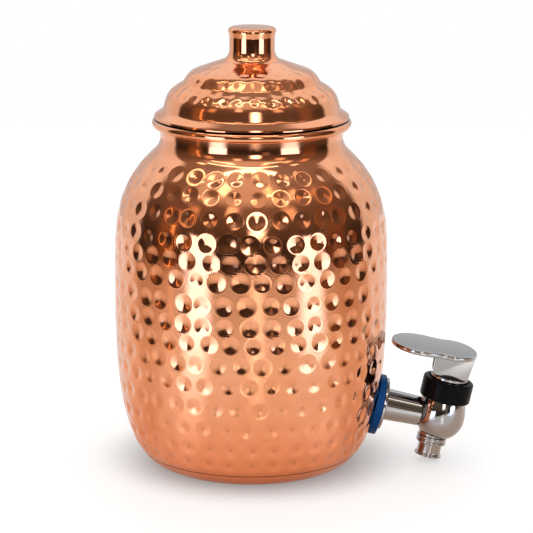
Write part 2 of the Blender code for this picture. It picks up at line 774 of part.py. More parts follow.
def make_valve(valve_frame, swing_frame):
    """Make the seat cup, the spring on its washer and the stem with its head and eye."""
    head_bottom = seat_cup_bottom + seat_cup_floor + seat_gap
    head_top = head_bottom + stem_head_thickness
    pocket_radius = stem_head_radius + seat_gap
    outline = [
        (0, head_bottom - seat_gap),
        (pocket_radius, head_bottom - seat_gap),
        (pocket_radius, head_top + seat_gap),
        (stem_bore_radius, head_top + seat_gap),
        (stem_bore_radius, seat_cup_top),
        (seat_cup_radius, seat_cup_top),
        (seat_cup_radius, seat_cup_bottom + seat_cup_bevel),
        (seat_cup_radius - seat_cup_bevel, seat_cup_bottom),
        (0, seat_cup_bottom),
    ]
    add_piece("seat_cup", turned("seat_cup", outline, tap_steps), clear_silicone, valve_frame)
    mesh = ring("spring_washer", stem_bore_radius, spring_washer_radius, spring_washer_bottom,
                spring_washer_top, tap_steps)
    add_piece("spring_washer", mesh, steel, valve_frame)

    coil = bpy.data.curves.new("closing_spring", "CURVE")
    coil.dimensions = "3D"
    coil.bevel_depth = spring_wire_radius
    coil.bevel_resolution = 1
    coil.use_fill_caps = True
    spline = coil.splines.new("POLY")
    count = spring_turns * spring_turn_points
    spline.points.add(count)
    low = spring_washer_top + seat_gap + spring_wire_radius
    high = bonnet_plug_bottom - seat_gap - spring_wire_radius
    for number, point in enumerate(spline.points):
        angle = math.tau * number / spring_turn_points
        height = low + (high - low) * number / count
        point.co = (spring_radius * math.cos(angle), spring_radius * math.sin(angle), height, 1)
    mesh = evaluated_mesh(bpy.data.objects.new("closing_spring", coil))
    shape = bmesh.new()
    shape.from_mesh(mesh)
    bmesh.ops.remove_doubles(shape, verts=shape.verts, dist=weld_distance)
    shape.to_mesh(mesh)
    shape.free()
    add_piece("closing_spring", smooth(mesh), steel, valve_frame)
    print("least gap between the spring's turns", (high - low) / spring_turns - 2 * spring_wire_radius)

    outline = [(0, pin_height), (stem_radius, pin_height), (stem_radius, head_top),
               (stem_head_radius, head_top), (stem_head_radius, head_bottom), (0, head_bottom)]
    stem = add_piece("valve_stem", turned("valve_stem", outline, small_steps), steel, swing_frame)
    sideways = Matrix.Translation((0, 0, pin_height)) @ Matrix.Rotation(math.pi / 2, 4, "X")
    half = stem_eye_thickness / 2
    eye = rod("stem_eye", stem_eye_radius, -half, half, tap_steps, sideways)
    cut(stem, add_cutter("stem_eye", eye, swing_frame), "UNION")
    hole = rod("eye_hole", pin_hole_radius, -half - cut_overrun, half + cut_overrun, small_steps, sideways)
    cut(stem, add_cutter("eye_hole", hole, swing_frame))


def level_bend(start, finish, steps):
    """Return points of an S-curve between two points, level at both of them."""
    middle = (start[0] + finish[0]) / 2
    ends = [start, (middle, start[1]), (middle, finish[1]), finish]
    return [tuple(curve_point(ends, step / steps)[0]) for step in range(steps + 1)]


def plate_outline():
    """Return the press plate's outline: a wide front lobe, a shallow waist and a longer back lobe."""
    front = arc((plate_front_peak, 0), (plate_front_reach - plate_front_peak, plate_front_half_width),
                0, math.pi / 2, lobe_steps)
    back = arc((plate_back_peak, 0), (plate_back_reach + plate_back_peak, plate_back_half_width),
               math.pi / 2, math.pi, lobe_steps)
    waist = (plate_waist_place, plate_waist_half_width)
    half = front + level_bend(front[-1], waist, waist_steps)[1:]
    half += level_bend(waist, back[0], waist_steps)[1:] + back[1:]
    return half + [(x, -y) for x, y in half[-2:0:-1]]


def make_lever(pin_frame):
    """Make the press plate on its forked cam block, and the pin that it tips on.

    The heel of the block is the involute that keeps touching the bonnet's flat top
    while the pin rises in step with the tilt.
    """
    heel = []
    for number in range(cam_points + 1):
        tilt = cam_sweep * number / cam_points
        reach = cam_height + cam_roll * tilt
        heel.append((-math.sin(tilt) * reach - math.cos(tilt) * cam_roll,
                     math.sin(tilt) * cam_roll - math.cos(tilt) * reach))
    plate_middle = plate_top - plate_thickness / 2
    block = rounded([(block_shoulder, plate_middle), (block_toe, -cam_height, block_toe_fillet)]
                    + heel + [(-block_shoulder, plate_middle)])
    upright = Matrix.Rotation(math.pi / 2, 4, "X")
    mesh = slab("lever", block, block_half_depth)
    mesh.transform(upright)
    lever = add_piece("lever", mesh, chrome, pin_frame)
    bevel = lever.modifiers.new("block_edges", "BEVEL")
    bevel.width = block_bevel
    bevel.segments = bevel_segments
    bevel.limit_method = "ANGLE"

    plate = slab("press_plate", plate_outline(), plate_thickness / 2)
    plate.transform(Matrix.Rotation(-plate_pitch, 4, "Y") @ Matrix.Translation((0, 0, plate_middle)))
    cutter = add_cutter("press_plate", plate, pin_frame)
    bevel = cutter.modifiers.new("plate_edges", "BEVEL")
    bevel.width = plate_bevel
    bevel.segments = bevel_segments
    bevel.limit_method = "ANGLE"
    cut(lever, cutter, "UNION")

    fork_top = plate_top - plate_thickness - fork_roof
    slot = box("fork_slot", (-block_shoulder - cut_overrun, -fork_half_gap, -cam_height - cut_overrun),
               (stem_eye_radius + seat_gap, fork_half_gap, fork_top))
    cut(lever, add_cutter("fork_slot", slot, pin_frame))
    hole = rod("lever_pin_hole", pin_hole_radius, -block_half_depth - cut_overrun,
               pin_near_reach + seat_gap, small_steps, upright)
    cut(lever, add_cutter("lever_pin_hole", hole, pin_frame))
    mesh = rod("lever_pin", pin_radius, seat_gap - block_half_depth, pin_near_reach, small_steps, upright)
    add_piece("lever_pin", mesh, steel, pin_frame)


def make_dispenser():
    """Place the tap's frames on the wall and make every piece."""
    wall, rise = curve_point(lower_wall, wall_share(tap_height))
    droop = math.atan2(rise.x, rise.y)
    shank_frame = make_frame("shank_frame", (wall.x, 0, wall.y), (0, droop + math.pi / 2, 0))
    valve_place = (wall.x + shank_length * math.cos(droop), 0, wall.y - shank_length * math.sin(droop))
    valve_frame = make_frame("valve_frame", valve_place, (0, droop, 0))
    swing_frame = make_frame("swing_frame", (0, 0, 0), (0, 0, 0), valve_frame)
    pin_frame = make_frame("pin_frame", (0, 0, pin_height), (0, 0, 0), swing_frame)
    make_vessel(shank_frame)
    make_lid()
    make_clamp(shank_frame)
    make_shank(shank_frame, valve_frame)
    make_tap_body(shank_frame, valve_frame)
    make_nozzle(valve_frame)
    make_bonnet(valve_frame)
    make_valve(valve_frame, swing_frame)
    make_lever(pin_frame)
    bpy.context.view_layer.update()


make_dispenser()
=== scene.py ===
"""Copper water dispenser: a hammered vessel, a stepped lid and a press-lever tap.

It dresses the packed part with fine surfaces and finishes. Metres, +Z up, the tap towards +X.
"""

import math
import random

import bmesh
import bpy
from bpy.props import FloatProperty, FloatVectorProperty, IntProperty, PointerProperty
from mathutils import Matrix, Vector


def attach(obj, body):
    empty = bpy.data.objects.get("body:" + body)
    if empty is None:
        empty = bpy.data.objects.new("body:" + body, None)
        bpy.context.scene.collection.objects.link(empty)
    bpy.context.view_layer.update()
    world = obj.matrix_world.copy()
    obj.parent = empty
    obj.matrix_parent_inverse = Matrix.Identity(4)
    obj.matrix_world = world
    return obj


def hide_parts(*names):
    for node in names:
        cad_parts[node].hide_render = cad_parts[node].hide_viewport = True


bl_info = {
    "name": "Copper water dispenser",
    "version": (1, 0, 0),
    "blender": (4, 5, 0),
    "location": "View3D > Sidebar > Dispenser",
    "description": "Hammered copper vessel with a stepped lid and a press-lever tap",
    "category": "Add Mesh",
}

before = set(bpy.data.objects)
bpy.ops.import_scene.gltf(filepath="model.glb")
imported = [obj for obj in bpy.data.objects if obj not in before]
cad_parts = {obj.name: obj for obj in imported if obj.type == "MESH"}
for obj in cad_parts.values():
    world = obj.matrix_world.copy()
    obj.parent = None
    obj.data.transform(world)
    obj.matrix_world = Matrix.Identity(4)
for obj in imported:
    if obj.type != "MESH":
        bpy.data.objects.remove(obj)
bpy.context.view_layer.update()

seat_gap = 0.0003
weld_distance = 0.00001
cut_overrun = 0.002
pin_play = 0.0001
fine_fillet = 0.0004
lid_top_fillet = 0.002
floor_height = -0.0002
smooth_angle = math.radians(32)

# Steps along outlines, and points round what is turned
curve_steps = 400
halvings = 40
slope_reach = 0.001
curl_steps = 24
neck_steps = 12
inner_coarseness = 7
pan_step = 0.001
lid_step = 0.00085
lid_inner_step = 0.0025
round_step = math.radians(7)
lid_round_step = math.radians(2)
knob_round_step = math.radians(3)
lobe_steps = 40
heel_steps = 24
fine_turns = 256
knob_turns = 192
plain_turns = 128
hole_turns = 64
pin_turns = 32
ball_steps = (12, 36)
waist_steps = (12, 16)

# The cut for the blue washer's saddle reaches up the wall by so many heights of the bottom's lap
saddle_laps = 4

# How the hammer marks differ from one another, and how the tree and the finish find them
reach_spread = (0.88, 1.08)
depth_spread = (0.8, 1.1)
lid_stray_share = 0.6
outer_facing = 0.3
unmarked = 9.0
meeting_gap = 0.05
meeting_start = 0.4
lip_band = (1.06, 1.16, 0.08)
mark_influence = 1.35

# Finishes: ramps of copper's painted warm reflection towards the foot and of the painted shade in its marks'
# middles, how dark specks and that shade are, how dark the painted shade in the gaps under the lid and along
# the seam is, and how light the patches of soft pieces are
painted_foot_reflection = (0.0, 0.09, 0.9, 0.0)
mark_shade_ramp = (0.0, 0.45, 1.0, 0.0)
painted_core_shade = 0.30
core_dullness = 0.03
speck_and_shade_darkness = 0.35
gap_shade_tone = 0.08
metal_spot_tone = 0.3
soft_patch_gain = 1.25
soft_patch_least = 0.001

# Painted shade in the gap under the lid's flange and along the bottom's seam: reach below and above, softness
lid_gap_shade = (0.0007, 0.0006, 0.0001)
seam_gap_shade = (0.0006, 0.0002, 0.0003)
seam_shade_share = 0.5


def length(name, text, default):
    """Return a length that a user may change."""
    return FloatProperty(name=name, description=text, default=default, unit="LENGTH",
                         subtype="DISTANCE", precision=5)


def turn(name, text, degrees):
    """Return an angle that a user may change."""
    return FloatProperty(name=name, description=text, default=math.radians(degrees),
                         unit="ROTATION", subtype="ANGLE")


def share(name, text, default, most=1.0):
    """Return a share or a plain strength."""
    return FloatProperty(name=name, description=text, default=default, min=0, max=most, subtype="FACTOR")


def colour(name, text, default):
    """Return a colour."""
    return FloatVectorProperty(name=name, description=text, default=default, size=3, min=0, max=1,
                               subtype="COLOR")


def count(name, text, default):
    """Return a whole number."""
    return IntProperty(name=name, description=text, default=default, min=1)


class VesselSizes(bpy.types.PropertyGroup):
    """Sizes of the spun wall, its rolled rim and its bottom."""

    wall: length("Wall", "Thickness of the copper sheet", 0.0010)
    foot_radius: length("Foot radius", "Radius of the flat underside", 0.0520)
    foot_pull: length("Foot pull", "How far the wall runs out flat from the foot", 0.0385)
    belly_radius: length("Belly radius", "Radius at the widest place", 0.0874)
    belly_height: length("Belly height", "Height of the widest place", 0.1310)
    belly_pull_down: length("Belly pull down", "How far the wall stays upright below the belly", 0.0430)
    belly_pull_up: length("Belly pull up", "How far the wall stays upright above the belly", 0.0299)
    shoulder_radius: length("Shoulder radius", "Radius where the shoulder meets the neck", 0.0621)
    shoulder_height: length("Shoulder height", "Height where the shoulder meets the neck", 0.2053)
    shoulder_pull: length("Shoulder pull", "How far the shoulder keeps its slope", 0.0327)
    shoulder_slope: turn("Shoulder slope", "Slope of the shoulder under the neck", 42.5)
    neck_radius: length("Neck radius", "Radius of the neck", 0.0581)
    bead_radius: length("Bead radius", "Radius of the rolled rim's section", 0.0031)
    bead_rise: length("Bead rise", "Height of the rolled rim over the shoulder", 0.0176)
    bead_curl_end: turn("Curl end", "Where the curl of the rim ends", -115)
    base_wall: length("Bottom wall", "Thickness of the bottom plate", 0.0012)
    seam_height: length("Seam height", "Height of the bottom's seam", 0.0103)
    lap_height: length("Lap height", "Height that the bottom laps up inside the wall", 0.0170)
    mesh_step: length("Mesh step", "Distance between the points of the hammered wall", 0.00140)
    mesh_turns: count("Mesh turns", "Points round the hammered wall and lid", 400)


class HammerSizes(bpy.types.PropertyGroup):
    """Sizes of the hammer marks."""

    pitch: length("Pitch", "Distance between marks along a row", 0.0141)
    reach: length("Reach", "Radius of a mark on the vessel", 0.0057)
    depth: length("Depth", "Depth of a mark on the vessel", 0.00120)
    tip: share("Tip", "Roundness of a mark's middle", 0.28)
    edge: share("Edge", "Roundness of a mark's edge", 0.26)
    lip: share("Lip", "Height of the lip round a mark, as a share of its depth", 0.02)
    stray: length("Stray", "How far a mark may stray from its place", 0.0007)
    lid_pitch: length("Lid pitch", "Distance between marks along a row of the lid", 0.0100)
    lid_reach: length("Lid reach", "Radius of a mark on the lid", 0.0041)
    lid_depth: length("Lid depth", "Depth of a mark on the lid", 0.00085)
    seed: count("Seed", "Seed of the marks' places", 7)


class LidSizes(bpy.types.PropertyGroup):
    """Sizes of the lid's sheet, its heights counted from the underside of the flange."""

    wall: length("Wall", "Thickness of the lid's sheet", 0.0008)
    inset: length("Inset", "How far the lid's foot is inside the mouth", 0.0007)
    flange_overhang: length("Flange overhang", "How far the flange passes the bead's middle", 0.0017)
    flange_edge: length("Flange edge", "Height of the flange's edge", 0.0015)
    flange_edge_fillet: length("Flange edge fillet", "Rounding of the flange's edge", 0.0012)
    flange_rise: length("Flange rise", "Height of the flange's root", 0.0051)
    flange_root_fillet: length("Flange root fillet", "Rounding of the flange's root", 0.0010)
    lower_lean: length("Lower lean", "How far the lower tier leans in", 0.0029)
    lower_height: length("Lower height", "Height of the lower tier's corner", 0.0162)
    lower_fillet: length("Lower fillet", "Rounding of the lower tier", 0.0240)
    crease_inset: length("Crease inset", "How far in the crease lies", 0.0128)
    crease_height: length("Crease height", "Height of the crease", 0.0226)
    crease_fillet: length("Crease fillet", "Rounding of the crease", 0.0008)
    upper_lean: length("Upper lean", "How far the upper tier leans in", 0.0041)
    upper_height: length("Upper height", "Height of the upper tier's corner", 0.0291)
    upper_fillet: length("Upper fillet", "Rounding of the upper tier", 0.0160)
    top_radius: length("Top radius", "Radius of the flat under the knob", 0.0194)
    top_height: length("Top height", "Height of the flat under the knob", 0.0363)
    collar_wall: length("Collar wall", "Thickness of the collar under the lid", 0.0008)
    collar_drop: length("Collar drop", "How far the collar hangs under the flange", 0.0140)
    collar_rise: length("Collar rise", "How far the collar stands in the lid", 0.0058)
    collar_roundness: share("Collar roundness", "Rounding of the collar, as a share of its wall", 0.4)
    knob_height: length("Knob height", "Height of the knob", 0.0213)
    knob_radius: length("Knob radius", "Radius of the knob's head", 0.0158)
    knob_fillet: length("Knob fillet", "Rounding of the knob's head", 0.0030)
    knob_crown: length("Knob crown", "Rise of the knob's top", 0.0008)
    waist_radius: length("Waist radius", "Radius of the knob's waist", 0.0143)
    waist_height: length("Waist height", "Height of the knob's waist", 0.0150)
    waist_fillet: length("Waist fillet", "Rounding of the knob's waist", 0.0030)
    root_height: length("Root height", "Height where the knob's foot spreads", 0.0023)
    root_fillet: length("Root fillet", "Rounding of the knob's foot", 0.0080)
    foot_radius: length("Foot radius", "Radius of the knob's foot", 0.0184)
    screw_hole: length("Screw hole", "Radius of the screw's hole", 0.0023)


class TapSizes(bpy.types.PropertyGroup):
    """Sizes of the tap, along its shank and up its stem."""

    height: length("Height", "Height of the shank where it leaves the wall", 0.0385)
    shank_length: length("Shank length", "Distance from the wall to the stem's axis", 0.0425)
    shank_root: length("Shank root", "Radius of the shank at its flange", 0.0104)
    shank_tip: length("Shank tip", "Radius of the shank at the ball", 0.0094)
    shank_fillet: length("Shank fillet", "Rounding of the shank's root", 0.0010)
    flange_radius: length("Flange radius", "Radius of the shank's flange", 0.0170)
    flange_thickness: length("Flange thickness", "Thickness of the shank's flange", 0.0020)
    flange_fillet: length("Flange fillet", "Rounding of the shank's flange", 0.0008)
    tail_radius: length("Tail radius", "Radius of the shank's tail", 0.0078)
    tail_reach: length("Tail reach", "Length of the tail inside the wall", 0.0165)
    tail_chamfer: length("Tail chamfer", "Chamfer of the tail's end", 0.0008)
    bore: length("Bore", "Radius of the water's way", 0.0050)
    spigot_radius: length("Spigot radius", "Radius of the shank's spigot", 0.0082)
    spigot_reach: length("Spigot reach", "Length of the spigot in the ball", 0.0036)
    washer_radius: length("Washer radius", "Radius of the blue washer", 0.0197)
    washer_thickness: length("Washer thickness", "Thickness of the blue washer", 0.0029)
    washer_fillet: length("Washer fillet", "Rounding of the blue washer", 0.0007)
    washer_bore: length("Washer bore", "Radius of the blue washer's bore", 0.0093)
    washer_saddle: length("Washer saddle", "Depth of the blue washer's saddle", 0.0060)
    ball_radius: length("Ball radius", "Radius of the valve's ball", 0.0160)
    ball_rise: length("Ball rise", "Height of the ball's upper part", 0.0250)
    rim_radius: length("Rim radius", "Radius of the body's threaded rim", 0.0130)
    rim_height: length("Rim height", "Height of the body's rim", 0.0220)
    chamber_radius: length("Chamber radius", "Radius of the valve's chamber", 0.0105)
    seat_depth: length("Seat depth", "Depth of the valve's seat", 0.0090)
    orifice: length("Orifice", "Radius of the valve's orifice", 0.0042)
    outlet_offset: length("Outlet offset", "How far the outlet is from the stem's axis", 0.0020)
    boss_radius: length("Boss radius", "Radius of the outlet's boss", 0.0093)
    boss_depth: length("Boss depth", "Depth of the outlet's boss", 0.0136)
    nozzle_spigot: length("Nozzle spigot", "Radius of the nozzle's spigot", 0.0070)
    nozzle_spigot_length: length("Nozzle spigot length", "Length of the nozzle's spigot", 0.0014)
    ring_radius: length("Ring radius", "Radius of the nozzle's ring", 0.0098)
    ring_length: length("Ring length", "Height of the nozzle's ring", 0.0050)
    ring_fillet: length("Ring fillet", "Rounding of the nozzle's ring", 0.0009)
    groove_depth: length("Groove depth", "Depth of the groove round the nozzle's ring", 0.0007)
    groove_half: length("Groove half height", "Half the height of that groove", 0.0005)
    nozzle_radius: length("Nozzle radius", "Radius of the nozzle's tube", 0.0077)
    nozzle_length: length("Nozzle length", "Length of the nozzle", 0.0136)
    lip_radius: length("Lip radius", "Radius of the nozzle's lip", 0.0089)
    lip_length: length("Lip length", "Height of the nozzle's lip", 0.0020)
    lip_fillet: length("Lip fillet", "Rounding of the nozzle's lip", 0.0008)
    bell_fillet: length("Bell fillet", "Rounding where the tube widens to its lip", 0.0060)
    nozzle_bore: length("Nozzle bore", "Radius of the nozzle's bore", 0.0058)
    plug_depth: length("Plug depth", "Depth of the bonnet's plug", 0.0045)
    bonnet_flange: length("Bonnet flange", "Thickness of the bonnet's flange", 0.0010)
    bonnet_radius: length("Bonnet radius", "Radius of the bonnet's neck", 0.0123)
    bonnet_height: length("Bonnet height", "Height of the bonnet's top", 0.0276)
    bonnet_fillet: length("Bonnet fillet", "Rounding of the bonnet's top", 0.0006)
    collar_radius: length("Collar radius", "Radius of the black collar", 0.0165)
    collar_bottom: length("Collar bottom", "Height of the black collar's foot", 0.0120)
    collar_lip: length("Collar lip", "Thickness of the black collar's lip", 0.0010)
    dish_radius: length("Dish radius", "Radius of the dish in the black collar's top", 0.0136)
    dish_depth: length("Dish depth", "Depth of that dish", 0.0009)
    collar_fillet: length("Collar fillet", "Rounding of the black collar's top", 0.0026)
    collar_foot_fillet: length("Collar foot fillet", "Rounding of the black collar's foot", 0.0012)
    stem_radius: length("Stem radius", "Radius of the valve's stem", 0.0025)
    ring_section: length("Sealing ring section", "Radius of the sealing rings' section", 0.0006)
    body_ring_depth: length("Body ring depth", "Depth of the bonnet's outer sealing ring", 0.0025)
    stem_ring_depth: length("Stem ring depth", "Depth of the stem's sealing ring", 0.0004)
    turn_steps: count("Turn steps", "Points round the tap's pieces", 96)


class LeverSizes(bpy.types.PropertyGroup):
    """Sizes of the press lever, counted from its pin."""

    cam_height: length("Cam height", "Height of the pin over the bonnet", 0.0060)
    cam_roll: length("Cam roll", "Lift for each radian of tilt", 0.0080)
    cam_sweep: turn("Cam sweep", "Tilt that the heel is shaped for", 30)
    pin_radius: length("Pin radius", "Radius of the pin", 0.0015)
    pin_reach: length("Pin reach", "Reach of the pin towards its blind end", 0.0065)
    half_depth: length("Half depth", "Half the depth of the block", 0.0080)
    toe: length("Toe", "Length of the block at its foot", 0.0108)
    shoulder: length("Shoulder", "Length of the block under the plate", 0.0128)
    toe_fillet: length("Toe fillet", "Rounding of the block's toe", 0.0012)
    fork_half_gap: length("Fork half gap", "Half the gap of the fork", 0.0028)
    fork_roof: length("Fork roof", "Metal over the fork", 0.0012)
    eye_radius: length("Eye radius", "Radius of the stem's eye", 0.0032)
    block_bevel: length("Block bevel", "Rounding of the block's edges", 0.0004)
    plate_top: length("Plate top", "Height of the plate's top", 0.0120)
    plate_thickness: length("Plate thickness", "Thickness of the plate", 0.0032)
    plate_bevel: length("Plate bevel", "Rounding of the plate's edge", 0.0010)
    front_reach: length("Front reach", "How far the plate reaches away from the vessel", 0.0143)
    front_peak: length("Front peak", "Place where the front lobe is widest", -0.0015)
    front_half_width: length("Front half width", "Half the width of the front lobe", 0.0215)
    waist_place: length("Waist place", "Place of the waist between the lobes", -0.0080)
    waist_half_width: length("Waist half width", "Half the width of the waist", 0.0203)
    back_peak: length("Back peak", "Place where the back lobe is widest", -0.0230)
    back_half_width: length("Back half width", "Half the width of the back lobe", 0.0226)
    back_reach: length("Back reach", "How far the plate reaches towards the vessel", 0.0420)
    pitch: turn("Pitch", "Slope of the plate on its block", 2)


class FinishColours(bpy.types.PropertyGroup):
    """Colours of the finishes."""

    copper: colour("Copper", "Polished copper", (0.86, 0.39, 0.22))
    copper_deep: colour("Deep copper", "Copper in its darker patches", (0.81, 0.34, 0.17))
    # A painted warm reflection of the floor, which the copper takes towards the foot
    copper_foot_reflection: colour("Warm copper", "Copper towards the foot", (0.86, 0.305, 0.135))
    chrome: colour("Chrome", "Chromed metal", (0.40, 0.405, 0.415))
    steel: colour("Steel", "Turned stainless steel", (0.60, 0.60, 0.61))
    blue: colour("Blue", "Blue silicone washer", (0.0, 0.060, 0.240))
    milky: colour("Milky", "Milky silicone", (0.75, 0.76, 0.74))
    black: colour("Black", "Black moulded plastic", (0.004, 0.004, 0.0045))
    rubber: colour("Rubber", "Black rubber", (0.020, 0.020, 0.020))


class StageLook(bpy.types.PropertyGroup):
    """The camera, the floor and the light round the object."""

    camera_distance: length("Camera distance", "Distance of the camera from the vessel's axis", 1.5)
    camera_height: length("Camera height", "Height of the camera", 0.4795)
    camera_turn: turn("Camera turn", "Turn of the camera round the vessel", 0)
    aim_height: length("Aim height", "Height that the camera looks at", 0.1288)
    lens: FloatProperty(name="Lens", description="Focal length in millimetres", default=161.72)
    shift: FloatProperty(name="Shift", description="Sideways shift of the picture", default=0.0289)
    roll: turn("Roll", "Roll of the camera", 0.25)
    floor_radius: length("Floor radius", "Radius of the white floor", 1.3)
    floor_shade: share("Floor shade", "Paleness of the floor", 0.5)
    floor_glow: share("Floor glow", "White that the floor shows by itself", 0.58)
    shadow_place: FloatVectorProperty(name="Shadow place", description="Middle of the shadow on the floor",
                                      default=(0.003, 0.010, 0), size=3, subtype="TRANSLATION")
    # The floor's painted light in the metal: its level behind the vessel, and a painted shade beside it
    far_side_painted_light: share("Far side", "Paleness of the floor behind the vessel, in the metal", 0.78)
    flank_painted_shade: colour("Flank tone", "Tone of the floor beside the vessel, in the metal", (0.84, 0.70, 0.60))
    streak_gap: FloatVectorProperty(name="Streak gap", description="Middle of the floor with no streak",
                                    default=(0.17, -0.19, 0), size=3, subtype="TRANSLATION")
    # The strips' painted reflection on the floor, seen in the metal
    painted_streak: FloatVectorProperty(name="Streak", description="Light of the strips on the floor in the metal",
                                default=(2.6, 3.6, 5.0), size=3, min=0)
    floor_gloss: share("Floor gloss", "Roughness of the floor in the metal", 0.22)
    floor_dullness: share("Floor dullness", "Roughness of the floor as it is seen", 0.6)
    backdrop: share("Backdrop", "Brightness of the white behind the object", 0.88, 4)
    backdrop_low: share("Backdrop low", "Brightness of that white straight behind and low", 0.66, 4)
    backdrop_top: share("Backdrop top", "Brightness of that white high up", 1.12, 4)
    fill: share("Fill", "Brightness of the light on dull surfaces", 0.9, 4)


groups = {
    "dispenser_vessel": VesselSizes,
    "dispenser_hammer": HammerSizes,
    "dispenser_lid": LidSizes,
    "dispenser_tap": TapSizes,
    "dispenser_lever": LeverSizes,
    "dispenser_colours": FinishColours,
    "dispenser_stage": StageLook,
}

# Rows of hammer marks on the vessel: height, turn of one mark from the viewing side in degrees, depth share
vessel_rows = (
    (0.1984, 4.4, 0.80),
    (0.1887, 3.0, 0.95),
    (0.1757, 2.4, 1.00),
    (0.1616, -0.6, 1.00),
    (0.1498, 1.8, 1.00),
    (0.1383, 4.6, 1.00),
    (0.1235, -1.8, 1.00),
    (0.1098, -0.6, 1.00),
    (0.0987, 1.0, 1.00),
    (0.0853, -3.8, 0.95),
    (0.0718, -0.6, 1.00),
    (0.0572, 4.0, 1.05),
    (0.0430, -1.0, 1.10),
    (0.0289, 1.2, 1.15),
    (0.0183, 0.8, 1.05),
)

# Rows of hammer marks on the lid: height over the flange's underside, turn, depth share
lid_rows = (
    (0.0172, 2.0, 1.00),
    (0.0207, 7.0, 0.50),
    (0.0262, 3.0, 0.60),
    (0.0307, 9.0, 0.45),
    (0.0337, 5.0, 0.40),
)

# Tone of the studio's near side: elevation in degrees, colour
studio_tones = (
    (-10, (0.040, 0.028, 0.020)),
    (3, (0.060, 0.043, 0.032)),
    (18, (0.14, 0.10, 0.072)),
    (31, (0.19, 0.13, 0.095)),
    (46, (0.31, 0.225, 0.17)),
    (90, (0.38, 0.34, 0.31)),
)

# Lights of the studio: azimuth from and to, elevation from and to in degrees, softness, colour
studio_lights = (
    (-54, -31, -40, 8.5, 1.0, (3.0, 3.2, 3.9)),
    (37, 61, -40, 8.5, 1.0, (3.0, 3.2, 3.9)),
    (0, 10, 11, 29, 4.5, (6.2, 5.8, 5.5)),
    (-84, -66, -12, 26, 6.0, (0.20, 0.08, 0.02)),
    (-72, -69, -4, 26, 1.0, (1.4, 0.7, 0.28)),
    (66, 86, -12, 26, 6.0, (0.13, 0.05, 0.015)),
    (-24, -14, 30, 42, 3.0, (1.7, 1.3, 1.0)),
    (32, 44, 26, 38, 4.0, (1.2, 0.85, 0.6)),
    (-62, -52, 20, 34, 4.0, (0.9, 0.55, 0.3)),
    (50, 60, 42, 54, 3.0, (1.8, 1.3, 0.9)),
    (74, 84, 34, 46, 4.0, (0.9, 0.45, 0.2)),
    (14, 22, -6, 12, 3.0, (0.25, 0.16, 0.12)),
    (-75, 40, 44, 76, 6.0, (0.50, 0.46, 0.40)),
    (-46, -32, 52, 66, 3.0, (2.6, 2.2, 1.8)),
    (20, 30, 56, 68, 3.0, (2.2, 1.5, 0.9)),
)

# Painted light of the floor in the metal, with a painted shadow and warm bounce near the vessel and fading
# far away: distance from the vessel's axis, colour
floor_painted_light = (
    (0.055, (0.40, 0.28, 0.22)),
    (0.080, (0.80, 0.68, 0.60)),
    (0.110, (0.90, 0.80, 0.74)),
    (0.155, (0.94, 0.87, 0.82)),
    (0.210, (0.96, 0.90, 0.86)),
    (0.320, (1.02, 1.00, 0.97)),
    (0.440, (0.90, 0.86, 0.79)),
    (0.560, (0.77, 0.71, 0.64)),
    (0.750, (0.64, 0.57, 0.50)),
    (0.950, (0.34, 0.29, 0.25)),
    (1.200, (0.05, 0.035, 0.025)),
)

# Bars over the object: place aside and towards the camera from and to, as shares of their height, softness,
# colour
studio_bars = (
    (-0.70, 0.34, 0.13, 0.18, 0.012, (6.0, 5.4, 4.8)),
    (-0.90, -0.50, 0.50, 0.56, 0.02, (5.0, 4.2, 3.4)),
    (0.25, 0.70, 0.62, 0.68, 0.02, (5.0, 4.2, 3.4)),
    (-0.80, -0.62, -0.10, 0.05, 0.03, (3.2, 2.6, 2.0)),
    (0.52, 0.66, 0.00, 0.10, 0.03, (3.2, 2.6, 2.0)),
)
least_rise = 0.01

# Painted reflections of the strips on the floor: azimuth from and to in degrees, share of their light
painted_floor_reflections = (
    (-51, -33, 1.0),
    (39, 58, 0.8),
)
streak_softness = 5

# Soft steps of the floor's painted shadow and of its painted reflections of the strips, over distance: from,
# to and, where given, the values at both
vessel_shadow = (0.055, 0.112, 0.45, 1.0)
tap_shadow = (0.0, 0.045, 0.90, 1.0)
streak_gap_edge = (0.08, 0.13)
streak_rise = (0.02, 0.60)

# Soft steps over the share of a way that leads towards the camera
flank_edge = (0.15, 0.50)
far_side_edge = (-0.40, -0.28)
backdrop_edge = (-0.28, -0.40)
backdrop_middle = (-0.75, -0.93)

# Soft steps of the backdrop, over elevation in degrees
backdrop_rise = (5, 45)
backdrop_low_rise = (18, 32, 1.0, 0.0)


def curve_point(ends, place):
    """Return a point of a cubic curve at a share of its run."""
    first, pull_out, pull_in, last = [Vector(end) for end in ends]
    left = 1 - place
    point = first * left ** 3 + pull_out * 3 * left * left * place
    return point + pull_in * 3 * left * place * place + last * place ** 3


def arc(centre, radii, first, last, steps):
    """Return points of an elliptic arc between two angles."""
    angles = [first + (last - first) * step / steps for step in range(steps + 1)]
    return [(centre[0] + radii[0] * math.cos(angle), centre[1] + radii[1] * math.sin(angle))
            for angle in angles]


def evenly(points, step):
    """Return points at even distances along a line of points."""
    points = [Vector(point) for point in points]
    lengths = [0.0]
    for before, after in zip(points, points[1:]):
        lengths.append(lengths[-1] + (after - before).length)
    steps = max(1, round(lengths[-1] / step))
    places = []
    number = 0
    for index in range(steps + 1):
        place = lengths[-1] * index / steps
        while number < len(points) - 2 and lengths[number + 1] < place:
            number += 1
        part = (place - lengths[number]) / (lengths[number + 1] - lengths[number])
        places.append(tuple(points[number].lerp(points[number + 1], part)))
    return places


def sideways(points, distance):
    """Return a line of points moved to its right by a distance."""
    moved = []
    last = len(points) - 1
    for number, point in enumerate(points):
        run = Vector(points[min(number + 1, last)]) - Vector(points[max(number - 1, 0)])
        run.normalize()
        moved.append((point[0] + run.y * distance, point[1] - run.x * distance))
    return moved


